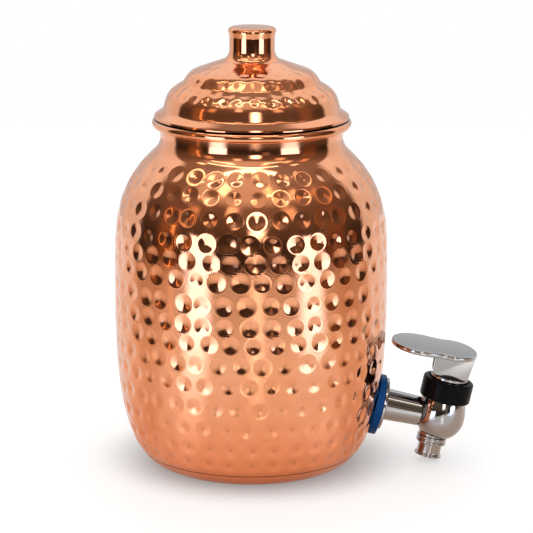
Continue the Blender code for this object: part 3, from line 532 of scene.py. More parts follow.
def rounded(corners, step=round_step, closed=False):
    """Return an outline whose (x, y, fillet) corners are rounded, as far as their sides allow."""
    points = []
    last = len(corners) - 1
    for number, corner in enumerate(corners):
        here = Vector(corner[:2])
        fillet = corner[2] if len(corner) > 2 else 0
        if fillet == 0 or (not closed and number in (0, last)):
            points.append(tuple(here))
            continue
        before = corners[number - 1]
        after = corners[(number + 1) % len(corners)]
        inward = here - Vector(before[:2])
        outward = Vector(after[:2]) - here
        rooms = []
        for side, neighbour in ((inward, before), (outward, after)):
            shared = len(neighbour) > 2 and neighbour[2] > 0
            rooms.append(side.length / 2 if shared else side.length)
        inward.normalize()
        outward.normalize()
        bend = inward.angle(outward)
        reach = min(fillet * math.tan(bend / 2), rooms[0], rooms[1])
        radius = reach / math.tan(bend / 2)
        aside = (outward - inward * inward.dot(outward)).normalized()
        steps = max(2, math.ceil(bend / step))
        for index in range(steps + 1):
            angle = bend * index / steps
            point = here - inward * reach + inward * (radius * math.sin(angle))
            points.append(tuple(point + aside * (radius * (1 - math.cos(angle)))))
    return points


def plain_mesh(maker):
    """Return the mesh that an object's modifiers or curve make, and remove the object."""
    if not maker.users_collection:
        bpy.context.scene.collection.objects.link(maker)
    bpy.context.view_layer.update()
    mesh = bpy.data.meshes.new_from_object(maker.evaluated_get(bpy.context.evaluated_depsgraph_get()))
    mesh.name = maker.name
    bpy.data.objects.remove(maker)
    return mesh


def smooth(mesh, angle=smooth_angle):
    """Shade a mesh smooth, with its sharp edges kept."""
    mesh.shade_smooth()
    mesh.set_sharp_from_angle(angle=angle)
    return mesh


def turned(name, outline, steps, closed=False):
    """Return the mesh of an outline turned about Z. The outline runs down its outer side."""
    profile = bpy.data.meshes.new(name)
    edges = [(number, number + 1) for number in range(len(outline) - 1)]
    if closed:
        edges.append((len(outline) - 1, 0))
    profile.from_pydata([(radius, 0, height) for radius, height in outline], edges, [])
    maker = bpy.data.objects.new(name, profile)
    screw = maker.modifiers.new("turn", "SCREW")
    screw.steps = steps
    screw.render_steps = steps
    screw.use_merge_vertices = True
    screw.merge_threshold = weld_distance
    return smooth(plain_mesh(maker))


def placed(mesh, matrix):
    """Return a mesh moved by a matrix."""
    mesh.transform(matrix)
    return mesh


def rod(name, steps, matrix, radius, low, high):
    """Return the mesh of a plain cylinder between two heights of a frame."""
    return placed(turned(name, [(0, high), (radius, high), (radius, low), (0, low)], steps), matrix)


def box(name, low, high):
    """Return the mesh of a box between two corners."""
    low, high = Vector(low), Vector(high)
    shape = bmesh.new()
    bmesh.ops.create_cube(shape, size=1)
    bmesh.ops.scale(shape, vec=high - low, verts=shape.verts)
    bmesh.ops.translate(shape, verts=shape.verts, vec=(low + high) / 2)
    mesh = bpy.data.meshes.new(name)
    shape.to_mesh(mesh)
    shape.free()
    return mesh


def slab(name, outline, half_thickness):
    """Return the mesh of a flat outline in XY, thickened both ways along Z."""
    flat = bpy.data.curves.new(name, "CURVE")
    flat.dimensions = "2D"
    flat.fill_mode = "BOTH"
    flat.extrude = half_thickness
    spline = flat.splines.new("POLY")
    spline.points.add(len(outline) - 1)
    for point, (x, y) in zip(spline.points, outline):
        point.co = (x, y, 0, 1)
    spline.use_cyclic_u = True
    mesh = plain_mesh(bpy.data.objects.new(name, flat))
    shape = bmesh.new()
    shape.from_mesh(mesh)
    bmesh.ops.remove_doubles(shape, verts=shape.verts, dist=weld_distance)
    bmesh.ops.dissolve_limit(shape, angle_limit=math.radians(1), verts=shape.verts, edges=shape.edges)
    bmesh.ops.recalc_face_normals(shape, faces=shape.faces)
    shape.to_mesh(mesh)
    shape.free()
    return mesh


def joined(name, mesh, changes):
    """Return a mesh after a row of (operation, mesh) Booleans, placed as they are."""
    piece = bpy.data.objects.new(name, mesh)
    bpy.context.scene.collection.objects.link(piece)
    cutters = []
    for operation, shape in changes:
        cutter = bpy.data.objects.new(shape.name, shape)
        bpy.context.scene.collection.objects.link(cutter)
        cutters.append(cutter)
        boolean = piece.modifiers.new(shape.name, "BOOLEAN")
        boolean.object = cutter
        boolean.operation = operation
        boolean.solver = "EXACT"
    mesh = plain_mesh(piece)
    for cutter in cutters:
        bpy.data.objects.remove(cutter)
    return smooth(mesh)


def add_piece(name, mesh, material, body, stands_for):
    """Add a finished piece that rides on a body and stands for a CAD node."""
    mesh.materials.clear()
    mesh.materials.append(material)
    piece = bpy.data.objects.new(name, mesh)
    bpy.context.scene.collection.objects.link(piece)
    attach(piece, body)
    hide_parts(stands_for)


def put(tree, kind, sockets=None, **settings):
    """Add a node, with plain settings, and inputs that are values or other nodes' sockets."""
    made = tree.nodes.new(kind)
    for name, value in settings.items():
        setattr(made, name, value)
    for key, value in (sockets or {}).items():
        if isinstance(value, bpy.types.NodeSocket):
            tree.links.new(value, made.inputs[key])
        else:
            made.inputs[key].default_value = value
    return made


def maths(tree, operation, first, second=0.0, third=0.0):
    """Add a Math node and return its output."""
    return put(tree, "ShaderNodeMath", {0: first, 1: second, 2: third}, operation=operation).outputs[0]


def vector_maths(tree, operation, *inputs, output="Vector"):
    """Add a Vector Math node and return one of its outputs."""
    return put(tree, "ShaderNodeVectorMath", dict(enumerate(inputs)), operation=operation).outputs[output]


def measure(tree, operation, *inputs):
    """Add a Vector Math node and return the number that it works out."""
    return vector_maths(tree, operation, *inputs, output="Value")


def along(tree, way, axis):
    """Return how far a way goes along an axis."""
    return measure(tree, "DOT_PRODUCT", way, tuple(axis))


def object_place(tree):
    """Return the Object coordinates."""
    return tree.nodes.new("ShaderNodeTexCoord").outputs["Object"]


def ramp(tree, value, low, high, start=0.0, end=1.0):
    """Return a value that goes smoothly from start to end between low and high."""
    made = put(tree, "ShaderNodeMapRange",
               {"Value": value, "From Min": low, "From Max": high, "To Min": start, "To Max": end})
    made.interpolation_type = "SMOOTHSTEP"
    return made.outputs[0]


def band(tree, value, low, high, soft):
    """Return 1 between two values, with soft ends."""
    rise = ramp(tree, value, low - soft, low + soft)
    fall = ramp(tree, value, high - soft, high + soft, 1.0, 0.0)
    return maths(tree, "MULTIPLY", rise, fall)


def toned(tree, value, stops):
    """Return a colour that runs evenly through a row of (value, colour) stops."""
    low, high = stops[0][0], stops[-1][0]
    part = put(tree, "ShaderNodeMapRange", {"Value": value, "From Min": low, "From Max": high}).outputs[0]
    made = put(tree, "ShaderNodeValToRGB", {0: part})
    elements = made.color_ramp.elements
    while len(elements) < len(stops):
        elements.new(0.5)
    for element, (at, tone) in zip(elements, stops):
        element.position = (at - low) / (high - low)
        element.color = (*tone, 1)
    return made.outputs[0]


def lit_fields(tree, tone, across, upward, fields):
    """Return a tone with fields of light added: from and to over two values, softness, colour."""
    for left, right, low, high, soft, glow in fields:
        beside, level = band(tree, across, left, right, soft), band(tree, upward, low, high, soft)
        tone = vector_maths(tree, "MULTIPLY_ADD", maths(tree, "MULTIPLY", beside, level), glow, tone)
    return tone


def new_group(name, kind, inputs, outputs):
    """Make a node group with named inputs and outputs, and return it with its two end nodes."""
    tree = bpy.data.node_groups.new(name, kind)
    for label, socket_type, default in inputs:
        socket = tree.interface.new_socket(name=label, in_out="INPUT", socket_type=socket_type)
        if default is not None:
            socket.default_value = default
    for label, socket_type in outputs:
        tree.interface.new_socket(name=label, in_out="OUTPUT", socket_type=socket_type)
    return tree, tree.nodes.new("NodeGroupInput"), tree.nodes.new("NodeGroupOutput")


def mark_profile(tree, spread):
    """Return the depth of a hammer mark, as a share, at a share of its radius."""
    sizes = bpy.context.scene.dispenser_hammer
    run = maths(tree, "SQRT", maths(tree, "MULTIPLY_ADD", spread, spread, sizes.tip ** 2))
    return maths(tree, "SMOOTH_MAX", maths(tree, "SUBTRACT", 1.0, run), 0.0, sizes.edge)


def hammer_tree():
    """Make the tree that presses a mark into a surface at each point of a set of marks.

    It also leaves on the surface how each point lies in its mark, for the finish to sharpen the mark.
    """
    inputs = [
        ("Geometry", "NodeSocketGeometry", None),
        ("Marks", "NodeSocketObject", None),
        ("Material", "NodeSocketMaterial", None),
        ("Depth", "NodeSocketFloat", 0.001),
    ]
    outputs = [("Geometry", "NodeSocketGeometry")]
    tree, start, end = new_group("Hammer marks", "GeometryNodeTree", inputs, outputs)
    marks = put(tree, "GeometryNodeObjectInfo", {"Object": start.outputs["Marks"]}).outputs["Geometry"]
    place = tree.nodes.new("GeometryNodeInputPosition").outputs[0]
    nearest = put(tree, "GeometryNodeSampleNearest", {"Geometry": marks}, domain="POINT").outputs["Index"]

    def of_mark(kind, value):
        made = put(tree, "GeometryNodeSampleIndex", {"Geometry": marks, "Index": nearest},
                   data_type=kind, domain="POINT")
        tree.links.new(value, made.inputs["Value"])
        return made.outputs[0]

    def attribute(name, kind):
        made = put(tree, "GeometryNodeInputNamedAttribute", {"Name": name}, data_type=kind)
        return made.outputs["Attribute"]

    def store(geometry, name, kind, value):
        made = put(tree, "GeometryNodeStoreNamedAttribute",
                   {"Geometry": geometry, "Name": name, "Value": value}, data_type=kind, domain="POINT")
        return made.outputs["Geometry"]

    middle = of_mark("FLOAT_VECTOR", place)
    outward = of_mark("FLOAT_VECTOR", attribute("outward", "FLOAT_VECTOR"))
    reach = of_mark("FLOAT", attribute("reach", "FLOAT"))
    depth = of_mark("FLOAT", attribute("depth_share", "FLOAT"))
    away = vector_maths(tree, "DIVIDE", vector_maths(tree, "SUBTRACT", place, middle), reach)
    spread = measure(tree, "LENGTH", away)
    normal = tree.nodes.new("GeometryNodeInputNormal").outputs[0]
    outside = maths(tree, "GREATER_THAN", measure(tree, "DOT_PRODUCT", normal, outward), outer_facing)
    most = maths(tree, "MULTIPLY", maths(tree, "MULTIPLY", depth, outside), start.outputs["Depth"])
    sunk = maths(tree, "MULTIPLY", mark_profile(tree, spread), most)
    drop = put(tree, "ShaderNodeVectorMath", {0: outward, "Scale": maths(tree, "MULTIPLY", sunk, -1.0)},
               operation="SCALE")
    beyond = maths(tree, "MULTIPLY", maths(tree, "SUBTRACT", 1.0, outside), unmarked)
    stored = store(start.outputs["Geometry"], "mark", "FLOAT", maths(tree, "ADD", spread, beyond))
    stored = store(stored, "mark_offset", "FLOAT_VECTOR", away)
    stored = store(stored, "mark_depth", "FLOAT", most)
    stored = store(stored, "wall_normal", "FLOAT_VECTOR", normal)
    pressed = put(tree, "GeometryNodeSetPosition", {"Geometry": stored, "Offset": drop.outputs[0]})
    real = put(tree, "GeometryNodeRealizeInstances", {"Geometry": pressed.outputs["Geometry"]})
    painted = put(tree, "GeometryNodeSetMaterial",
                  {"Geometry": real.outputs["Geometry"], "Material": start.outputs["Material"]})
    tree.links.new(painted.outputs["Geometry"], end.inputs["Geometry"])
    return tree


def on_outline(outline, height):
    """Return the place and outward direction where an outline passes a height."""
    for before, after in zip(outline, outline[1:]):
        if min(before[1], after[1]) <= height < max(before[1], after[1]):
            part = (height - before[1]) / (after[1] - before[1])
            place = Vector(before).lerp(Vector(after), part)
            run = (Vector(after) - Vector(before)).normalized()
            return place, Vector((-run.y, run.x))
    raise ValueError(f"the outline doesn't pass {height}")


def marks_object(name, outline, rows, pitch, reach, stray, seed):
    """Make the points of the hammer marks, each with its reach, its depth share and its direction."""
    facing = bpy.context.scene.dispenser_stage.camera_turn - math.pi / 2
    dice = random.Random(seed)
    places, outwards, reaches, depths = [], [], [], []
    for level, first, depth in rows:
        place, outward = on_outline(outline, level)
        number = max(3, round(math.tau * place.x / pitch))
        for index in range(number):
            angle = facing + math.radians(first) + math.tau * index / number
            slip = dice.gauss(0, stray) if index else 0
            lift = dice.gauss(0, stray / 2)
            angle += slip / place.x
            radius = place.x + outward.y * lift
            height = place.y - outward.x * lift
            places.append((radius * math.cos(angle), radius * math.sin(angle), height))
            outwards.append((outward.x * math.cos(angle), outward.x * math.sin(angle), outward.y))
            reaches.append(reach * dice.uniform(*reach_spread))
            depths.append(depth * dice.uniform(*depth_spread))
    mesh = bpy.data.meshes.new(name)
    mesh.from_pydata(places, [], [])
    mesh.attributes.new("outward", "FLOAT_VECTOR", "POINT").data.foreach_set(
        "vector", [part for outward in outwards for part in outward])
    mesh.attributes.new("reach", "FLOAT", "POINT").data.foreach_set("value", reaches)
    mesh.attributes.new("depth_share", "FLOAT", "POINT").data.foreach_set("value", depths)
    marks = bpy.data.objects.new(name, mesh)
    bpy.context.scene.collection.objects.link(marks)
    return marks


def hammered(name, mesh, marks, depth, material):
    """Return a mesh with the marks pressed into its outer face."""
    piece = bpy.data.objects.new(name, mesh)
    bpy.context.scene.collection.objects.link(piece)
    tree = bpy.data.node_groups.get("Hammer marks") or hammer_tree()
    press = piece.modifiers.new("hammer marks", "NODES")
    press.node_group = tree
    sockets = {item.name: item.identifier for item in tree.interface.items_tree if item.in_out == "INPUT"}
    press[sockets["Marks"]] = marks
    press[sockets["Material"]] = material
    press[sockets["Depth"]] = depth
    mesh = plain_mesh(piece)
    bpy.data.objects.remove(marks)
    return mesh


def wander_group():
    """Make the shared mask of slow patches, as polished metal has."""
    inputs = [("Scale", "NodeSocketFloat", 20.0), ("Detail", "NodeSocketFloat", 3.0),
              ("Low", "NodeSocketFloat", 0.4), ("High", "NodeSocketFloat", 0.6)]
    tree, start, end = new_group("Wandering patches", "ShaderNodeTree", inputs, [("Mask", "NodeSocketFloat")])
    noise = put(tree, "ShaderNodeTexNoise", {"Vector": object_place(tree), "Scale": start.outputs["Scale"],
                                             "Detail": start.outputs["Detail"]})
    spread = put(tree, "ShaderNodeMapRange", {"Value": noise.outputs[0], "From Min": start.outputs["Low"],
                                              "From Max": start.outputs["High"]})
    tree.links.new(spread.outputs[0], end.inputs["Mask"])
    return tree


def scratch_group():
    """Make the shared height of fine polishing lines that run one way."""
    inputs = [("Stretch", "NodeSocketVector", (1.0, 1.0, 1.0)), ("Scale", "NodeSocketFloat", 300.0),
              ("Turn", "NodeSocketVector", (0.0, 0.0, 0.0))]
    tree, start, end = new_group("Polishing lines", "ShaderNodeTree", inputs, [("Height", "NodeSocketFloat")])
    mapping = put(tree, "ShaderNodeMapping", {"Vector": object_place(tree), "Rotation": start.outputs["Turn"],
                                              "Scale": start.outputs["Stretch"]})
    noise = put(tree, "ShaderNodeTexNoise", {"Vector": mapping.outputs[0], "Scale": start.outputs["Scale"],
                                             "Detail": 4.0, "Roughness": 0.7})
    tree.links.new(noise.outputs[0], end.inputs["Height"])
    return tree


def speck_group():
    """Make the shared mask of sparse small spots."""
    inputs = [("Scale", "NodeSocketFloat", 150.0), ("Size", "NodeSocketFloat", 0.1),
              ("Amount", "NodeSocketFloat", 0.1)]
    tree, start, end = new_group("Sparse specks", "ShaderNodeTree", inputs, [("Mask", "NodeSocketFloat")])
    cells = put(tree, "ShaderNodeTexVoronoi", {"Vector": object_place(tree), "Scale": start.outputs["Scale"]})
    near = maths(tree, "LESS_THAN", cells.outputs["Distance"], start.outputs["Size"])
    chance = put(tree, "ShaderNodeSeparateColor", {"Color": cells.outputs["Color"]}).outputs[0]
    chosen = maths(tree, "LESS_THAN", chance, start.outputs["Amount"])
    tree.links.new(maths(tree, "MULTIPLY", near, chosen), end.inputs["Mask"])
    return tree


def use_group(tree, name, maker, sockets):
    """Place a shared group in a tree and return its output."""
    made = tree.nodes.new("ShaderNodeGroup")
    made.node_tree = bpy.data.node_groups.get(name) or maker()
    for key, value in sockets.items():
        made.inputs[key].default_value = value
    return made.outputs[0]


def mixed(tree, mask, first, second):
    """Return a colour between two colours."""
    made = put(tree, "ShaderNodeMix", {0: mask}, data_type="RGBA")
    for socket, value in ((made.inputs[6], first), (made.inputs[7], second)):
        if isinstance(value, bpy.types.NodeSocket):
            tree.links.new(value, socket)
        else:
            socket.default_value = (*value, 1)
    return made.outputs[2]


def stored_value(tree, name, output="Fac"):
    """Return a value that the hammer marks left on the surface."""
    return put(tree, "ShaderNodeAttribute", attribute_name=name).outputs[output]


def mark_spread(tree):
    """Return how far a place is from the middle of its hammer mark, as a share of the mark's radius.

    The stored offset is exact inside a mark, and the stored distance serves where two marks meet.
    """
    stored = stored_value(tree, "mark")
    offset = stored_value(tree, "mark_offset", "Vector")
    measured = measure(tree, "LENGTH", offset)
    apart = maths(tree, "GREATER_THAN", maths(tree, "SUBTRACT", stored, measured), meeting_gap)
    apart = maths(tree, "MULTIPLY", apart, maths(tree, "GREATER_THAN", stored, meeting_start))
    return put(tree, "ShaderNodeMix", {0: apart, 2: measured, 3: stored}).outputs[0]


def marked_bump(tree, spread, lines):
    """Return a bump that gives the hammer marks their exact shape, with a height of fine lines added."""
    sizes = bpy.context.scene.dispenser_hammer
    shape = maths(tree, "MULTIPLY_ADD", band(tree, spread, *lip_band), sizes.lip,
                  maths(tree, "MULTIPLY", mark_profile(tree, spread), -1.0))
    height = maths(tree, "MULTIPLY_ADD", shape, stored_value(tree, "mark_depth"), lines)
    wall = put(tree, "ShaderNodeVectorTransform", {"Vector": stored_value(tree, "wall_normal", "Vector")},
               vector_type="NORMAL", convert_from="OBJECT", convert_to="WORLD").outputs[0]
    plain = tree.nodes.new("ShaderNodeNewGeometry").outputs["Normal"]
    near = maths(tree, "LESS_THAN", stored_value(tree, "mark"), mark_influence)
    base = put(tree, "ShaderNodeMix", {0: near}, data_type="VECTOR")
    tree.links.new(plain, base.inputs[4])
    tree.links.new(wall, base.inputs[5])
    return put(tree, "ShaderNodeBump", {"Height": height, "Distance": 1.0, "Normal": base.outputs[1]})


def rim_top(v):
    """Return the height of the rolled rim's top."""
    return v.shoulder_height + v.bead_rise + v.bead_radius


def painted_gap_shade(tree, height):
    """Return 1 in the painted shade of the gap under the lid's flange, and less in the painted shade along
    the bottom's seam.
    """
    v = bpy.context.scene.dispenser_vessel
    lines = []
    for middle, (below, above, soft) in ((rim_top(v), lid_gap_shade), (v.seam_height, seam_gap_shade)):
        lines.append(band(tree, height, middle - below, middle + above, soft))
    return maths(tree, "MULTIPLY_ADD", lines[1], seam_shade_share, lines[0])


def darker(tone, part):
    """Return a part of a colour's light."""
    return tuple(channel * part for channel in tone)


def new_material(name):
    """Make a material and return it with its tree and shader."""
    material = bpy.data.materials.new(name)
    material.use_nodes = True
    return material, material.node_tree, material.node_tree.nodes["Principled BSDF"]


def feed(tree, shader, tone, roughness, bump):
    """Feed a shader with its colour, its roughness and its bump."""
    tree.links.new(tone, shader.inputs["Base Color"])
    tree.links.new(roughness, shader.inputs["Roughness"])
    tree.links.new(bump.outputs[0], shader.inputs["Normal"])


def copper_material(name, polish, dull, line_height, marked=False):
    """Make copper with slow tone patches, polishing lines, faint specks and, if marked, hammer marks.

    It has painted light too: a warm reflection towards the foot, shade in the gaps under the lid and along
    the seam, and shade in the marks' middles.
    """
    material, tree, shader = new_material(name)
    colours = bpy.context.scene.dispenser_colours
    patches = use_group(tree, "Wandering patches", wander_group, {"Scale": 38.0, "Low": 0.35, "High": 0.7})
    smears = use_group(tree, "Wandering patches", wander_group,
                       {"Scale": 95.0, "Detail": 6.0, "Low": 0.42, "High": 0.72})
    specks = use_group(tree, "Sparse specks", speck_group, {"Scale": 210.0, "Size": 0.09, "Amount": 0.025})
    height = put(tree, "ShaderNodeSeparateXYZ", {0: object_place(tree)}).outputs["Z"]
    speck_and_shade_tone = darker(colours.copper_deep, speck_and_shade_darkness)
    tone = mixed(tree, patches, colours.copper, colours.copper_deep)
    # Painted warm reflection of the floor, stronger towards the foot
    tone = mixed(tree, ramp(tree, height, *painted_foot_reflection), tone, colours.copper_foot_reflection)
    tone = mixed(tree, specks, tone, speck_and_shade_tone)
    # Painted shade: darker in the gap under the lid's flange and along the bottom's seam
    tone = mixed(tree, painted_gap_shade(tree, height), tone, darker(colours.copper_deep, gap_shade_tone))
    roughness = ramp(tree, smears, 0.0, 1.0, polish, dull)
    lines = use_group(tree, "Polishing lines", scratch_group, {"Stretch": (0.25, 0.25, 4.0), "Scale": 420.0})
    relief = maths(tree, "MULTIPLY", lines, line_height)
    if marked:
        spread = mark_spread(tree)
        # Painted shade: the middle of each hammer mark is darker
        core = ramp(tree, spread, *mark_shade_ramp)
        tone = mixed(tree, maths(tree, "MULTIPLY", core, painted_core_shade), tone, speck_and_shade_tone)
        roughness = maths(tree, "ADD", roughness, maths(tree, "MULTIPLY", core, core_dullness))
        bump = marked_bump(tree, spread, relief)
    else:
        bump = put(tree, "ShaderNodeBump", {"Height": relief, "Distance": 1.0})
    shader.inputs["Metallic"].default_value = 1.0
    feed(tree, shader, tone, roughness, bump)
    return material


def metal_material(name, base, polish, dull, line_height, stretch):
    """Make chrome or steel with faint smears, and polishing lines that run round the tap's stem."""
    material, tree, shader = new_material(name)
    smears = use_group(tree, "Wandering patches", wander_group,
                       {"Scale": 160.0, "Detail": 5.0, "Low": 0.42, "High": 0.75})
    specks = use_group(tree, "Sparse specks", speck_group, {"Scale": 260.0, "Size": 0.10, "Amount": 0.03})
    tone = mixed(tree, specks, base, darker(base, metal_spot_tone))
    lines = use_group(tree, "Polishing lines", scratch_group,
                      {"Stretch": stretch, "Scale": 900.0, "Turn": tap_frames()[1].to_euler()[:]})
    relief = maths(tree, "MULTIPLY", lines, line_height)
    bump = put(tree, "ShaderNodeBump", {"Height": relief, "Distance": 1.0})
    shader.inputs["Metallic"].default_value = 1.0
    feed(tree, shader, tone, ramp(tree, smears, 0.0, 1.0, polish, dull), bump)
    return material


def soft_material(name, base, polish, dull, grain, sheen=0.5):
    """Make plastic, silicone or rubber with a fine grain and uneven gloss."""
    material, tree, shader = new_material(name)
    patches = use_group(tree, "Wandering patches", wander_group,
                        {"Scale": 240.0, "Detail": 4.0, "Low": 0.35, "High": 0.7})
    lighter = tuple(min(1.0, channel * soft_patch_gain + soft_patch_least) for channel in base)
    lines = use_group(tree, "Polishing lines", scratch_group, {"Stretch": (1.0, 1.0, 1.0), "Scale": 2600.0})
    bump = put(tree, "ShaderNodeBump", {"Height": maths(tree, "MULTIPLY", lines, grain), "Distance": 1.0})
    shader.inputs["Specular IOR Level"].default_value = sheen
    feed(tree, shader, mixed(tree, patches, base, lighter), ramp(tree, patches, 0.0, 1.0, polish, dull), bump)
    return material


def finish(name):
    """Return the material of a finish, made when it is first asked for."""
    if name in bpy.data.materials:
        return bpy.data.materials[name]
    tones = bpy.context.scene.dispenser_colours
    # Maker, colour where it takes one, roughness where polished and where dull, height of the lines or grain,
    # and what only some take: hammer marks, the stretch of the lines, or the sheen
    makers = {
        "hammered copper": (copper_material, 0.06, 0.14, 0.0000015, True),
        "polished copper": (copper_material, 0.06, 0.13, 0.0000012),
        "polished chrome": (metal_material, tones.chrome, 0.04, 0.10, 0.0000006, (1.0, 1.0, 6.0)),
        "turned steel": (metal_material, tones.steel, 0.22, 0.36, 0.0000030, (0.3, 0.3, 8.0)),
        "blue silicone": (soft_material, tones.blue, 0.32, 0.46, 0.000004, 0.15),
        "milky silicone": (soft_material, tones.milky, 0.40, 0.55, 0.000004),
        "black plastic": (soft_material, tones.black, 0.26, 0.38, 0.000006, 0.06),
        "black rubber": (soft_material, tones.rubber, 0.50, 0.65, 0.000008),
    }
    maker, *values = makers[name]
    return maker(name, *values)


def lower_wall(v):
    """Return the ends and pulls of the wall's curve from the foot up to the belly."""
    return ((v.foot_radius, 0), (v.foot_radius + v.foot_pull, 0),
            (v.belly_radius, v.belly_height - v.belly_pull_down), (v.belly_radius, v.belly_height))


def upper_wall(v):
    """Return the ends and pulls of the wall's curve from the belly up to the neck."""
    pull = (v.shoulder_radius + v.shoulder_pull * math.cos(v.shoulder_slope),
            v.shoulder_height - v.shoulder_pull * math.sin(v.shoulder_slope))
    return ((v.belly_radius, v.belly_height), (v.belly_radius, v.belly_height + v.belly_pull_up),
            pull, (v.shoulder_radius, v.shoulder_height))


def wall_share(v, height):
    """Return how far along the lower wall a height lies, found by halving."""
    low, high = 0.0, 1.0
    for _ in range(halvings):
        middle = (low + high) / 2
        if curve_point(lower_wall(v), middle).y < height:
            low = middle
        else:
            high = middle
    return low


def wall_run(v, first_height, last_height, step):
    """Return even points down the lower wall between two heights."""
    first, last = wall_share(v, first_height), wall_share(v, last_height)
    shares = [first + (last - first) * number / curve_steps for number in range(curve_steps + 1)]
    return evenly([curve_point(lower_wall(v), part) for part in shares], step)


def wall_outline(v, step):
    """Return the outer face of the wall, from the curl of the rim down to the seam."""
    ring = v.neck_radius - v.wall + v.bead_radius
    bead_height = v.shoulder_height + v.bead_rise
    arc_radius = (v.shoulder_radius - v.neck_radius) / (1 - math.sin(v.shoulder_slope))
    arc_height = v.shoulder_height + arc_radius * math.cos(v.shoulder_slope)
    curl = arc((ring, bead_height), (v.bead_radius - v.wall,) * 2, v.bead_curl_end, math.pi, curl_steps)
    neck = arc((v.neck_radius + arc_radius, arc_height), (arc_radius,) * 2, math.pi,
               math.pi * 3 / 2 - v.shoulder_slope, neck_steps)
    shoulder = [curve_point(upper_wall(v), 1 - number / curve_steps) for number in range(curve_steps + 1)]
    return curl + neck + evenly(shoulder, step)[1:] + wall_run(v, v.belly_height, v.seam_height, step)[1:]


def tap_frames():
    """Return the shank's frame, out from the wall, and the stem's frame, up from the ball."""
    v, t = bpy.context.scene.dispenser_vessel, bpy.context.scene.dispenser_tap
    place = wall_share(v, t.height)
    wall = curve_point(lower_wall(v), place)
    rise = curve_point(lower_wall(v), place + slope_reach) - curve_point(lower_wall(v), place - slope_reach)
    droop = math.atan2(rise.x, rise.y)
    shank = Matrix.Translation((wall.x, 0, wall.y)) @ Matrix.Rotation(droop + math.pi / 2, 4, "Y")
    ball = (wall.x + t.shank_length * math.cos(droop), 0, wall.y - t.shank_length * math.sin(droop))
    stem = Matrix.Translation(ball) @ Matrix.Rotation(droop, 4, "Y")
    return shank, stem


class DISPENSER_OT_vessel(bpy.types.Operator):
    """Make the hammered wall with its rolled rim, and the bottom pan"""

    bl_idname = "dispenser.vessel"
    bl_label = "Hammered vessel"

    def execute(self, context):
        self.make_wall(context.scene)
        self.make_bottom(context.scene.dispenser_vessel)
        return {"FINISHED"}

    def make_wall(self, scene):
        """Make the hammered wall, with the hole for the shank."""
        v, h, t = scene.dispenser_vessel, scene.dispenser_hammer, scene.dispenser_tap
        copper = finish("hammered copper")
        outer = wall_outline(v, v.mesh_step)
        inner = sideways(wall_outline(v, v.mesh_step * inner_coarseness), v.wall)
        below_neck = outer[curl_steps + neck_steps + 2:]
        mesh = turned("vessel_wall", outer + inner[::-1], v.mesh_turns, closed=True)
        marks = marks_object("vessel_marks", below_neck, vessel_rows, h.pitch, h.reach, h.stray, h.seed)
        mesh = hammered("vessel_wall", mesh, marks, h.depth, copper)
        hole = rod("shank_hole", hole_turns, tap_frames()[0], t.tail_radius + seat_gap, -t.tail_reach,
                   t.tail_reach)
        mesh = joined("vessel_wall", mesh, [("DIFFERENCE", hole)])
        add_piece("vessel_wall", mesh, copper, "root", "vessel_shell")

    def make_bottom(self, v):
        """Make the bottom pan, which laps up inside the wall."""
        lap = v.wall + seat_gap
        under_seam = v.seam_height - seat_gap
        outside = sideways(wall_run(v, v.lap_height, under_seam, pan_step), lap)
        outside += wall_run(v, under_seam, weld_distance, pan_step) + [(0, 0)]
        inside = sideways(wall_run(v, v.lap_height, weld_distance, pan_step * 2), lap + v.base_wall)
        outline = [(0, v.base_wall)] + inside[::-1] + outside
        add_piece("bottom_pan", turned("bottom_pan", outline, fine_turns), finish("polished copper"), "root",
                  "base_plate")


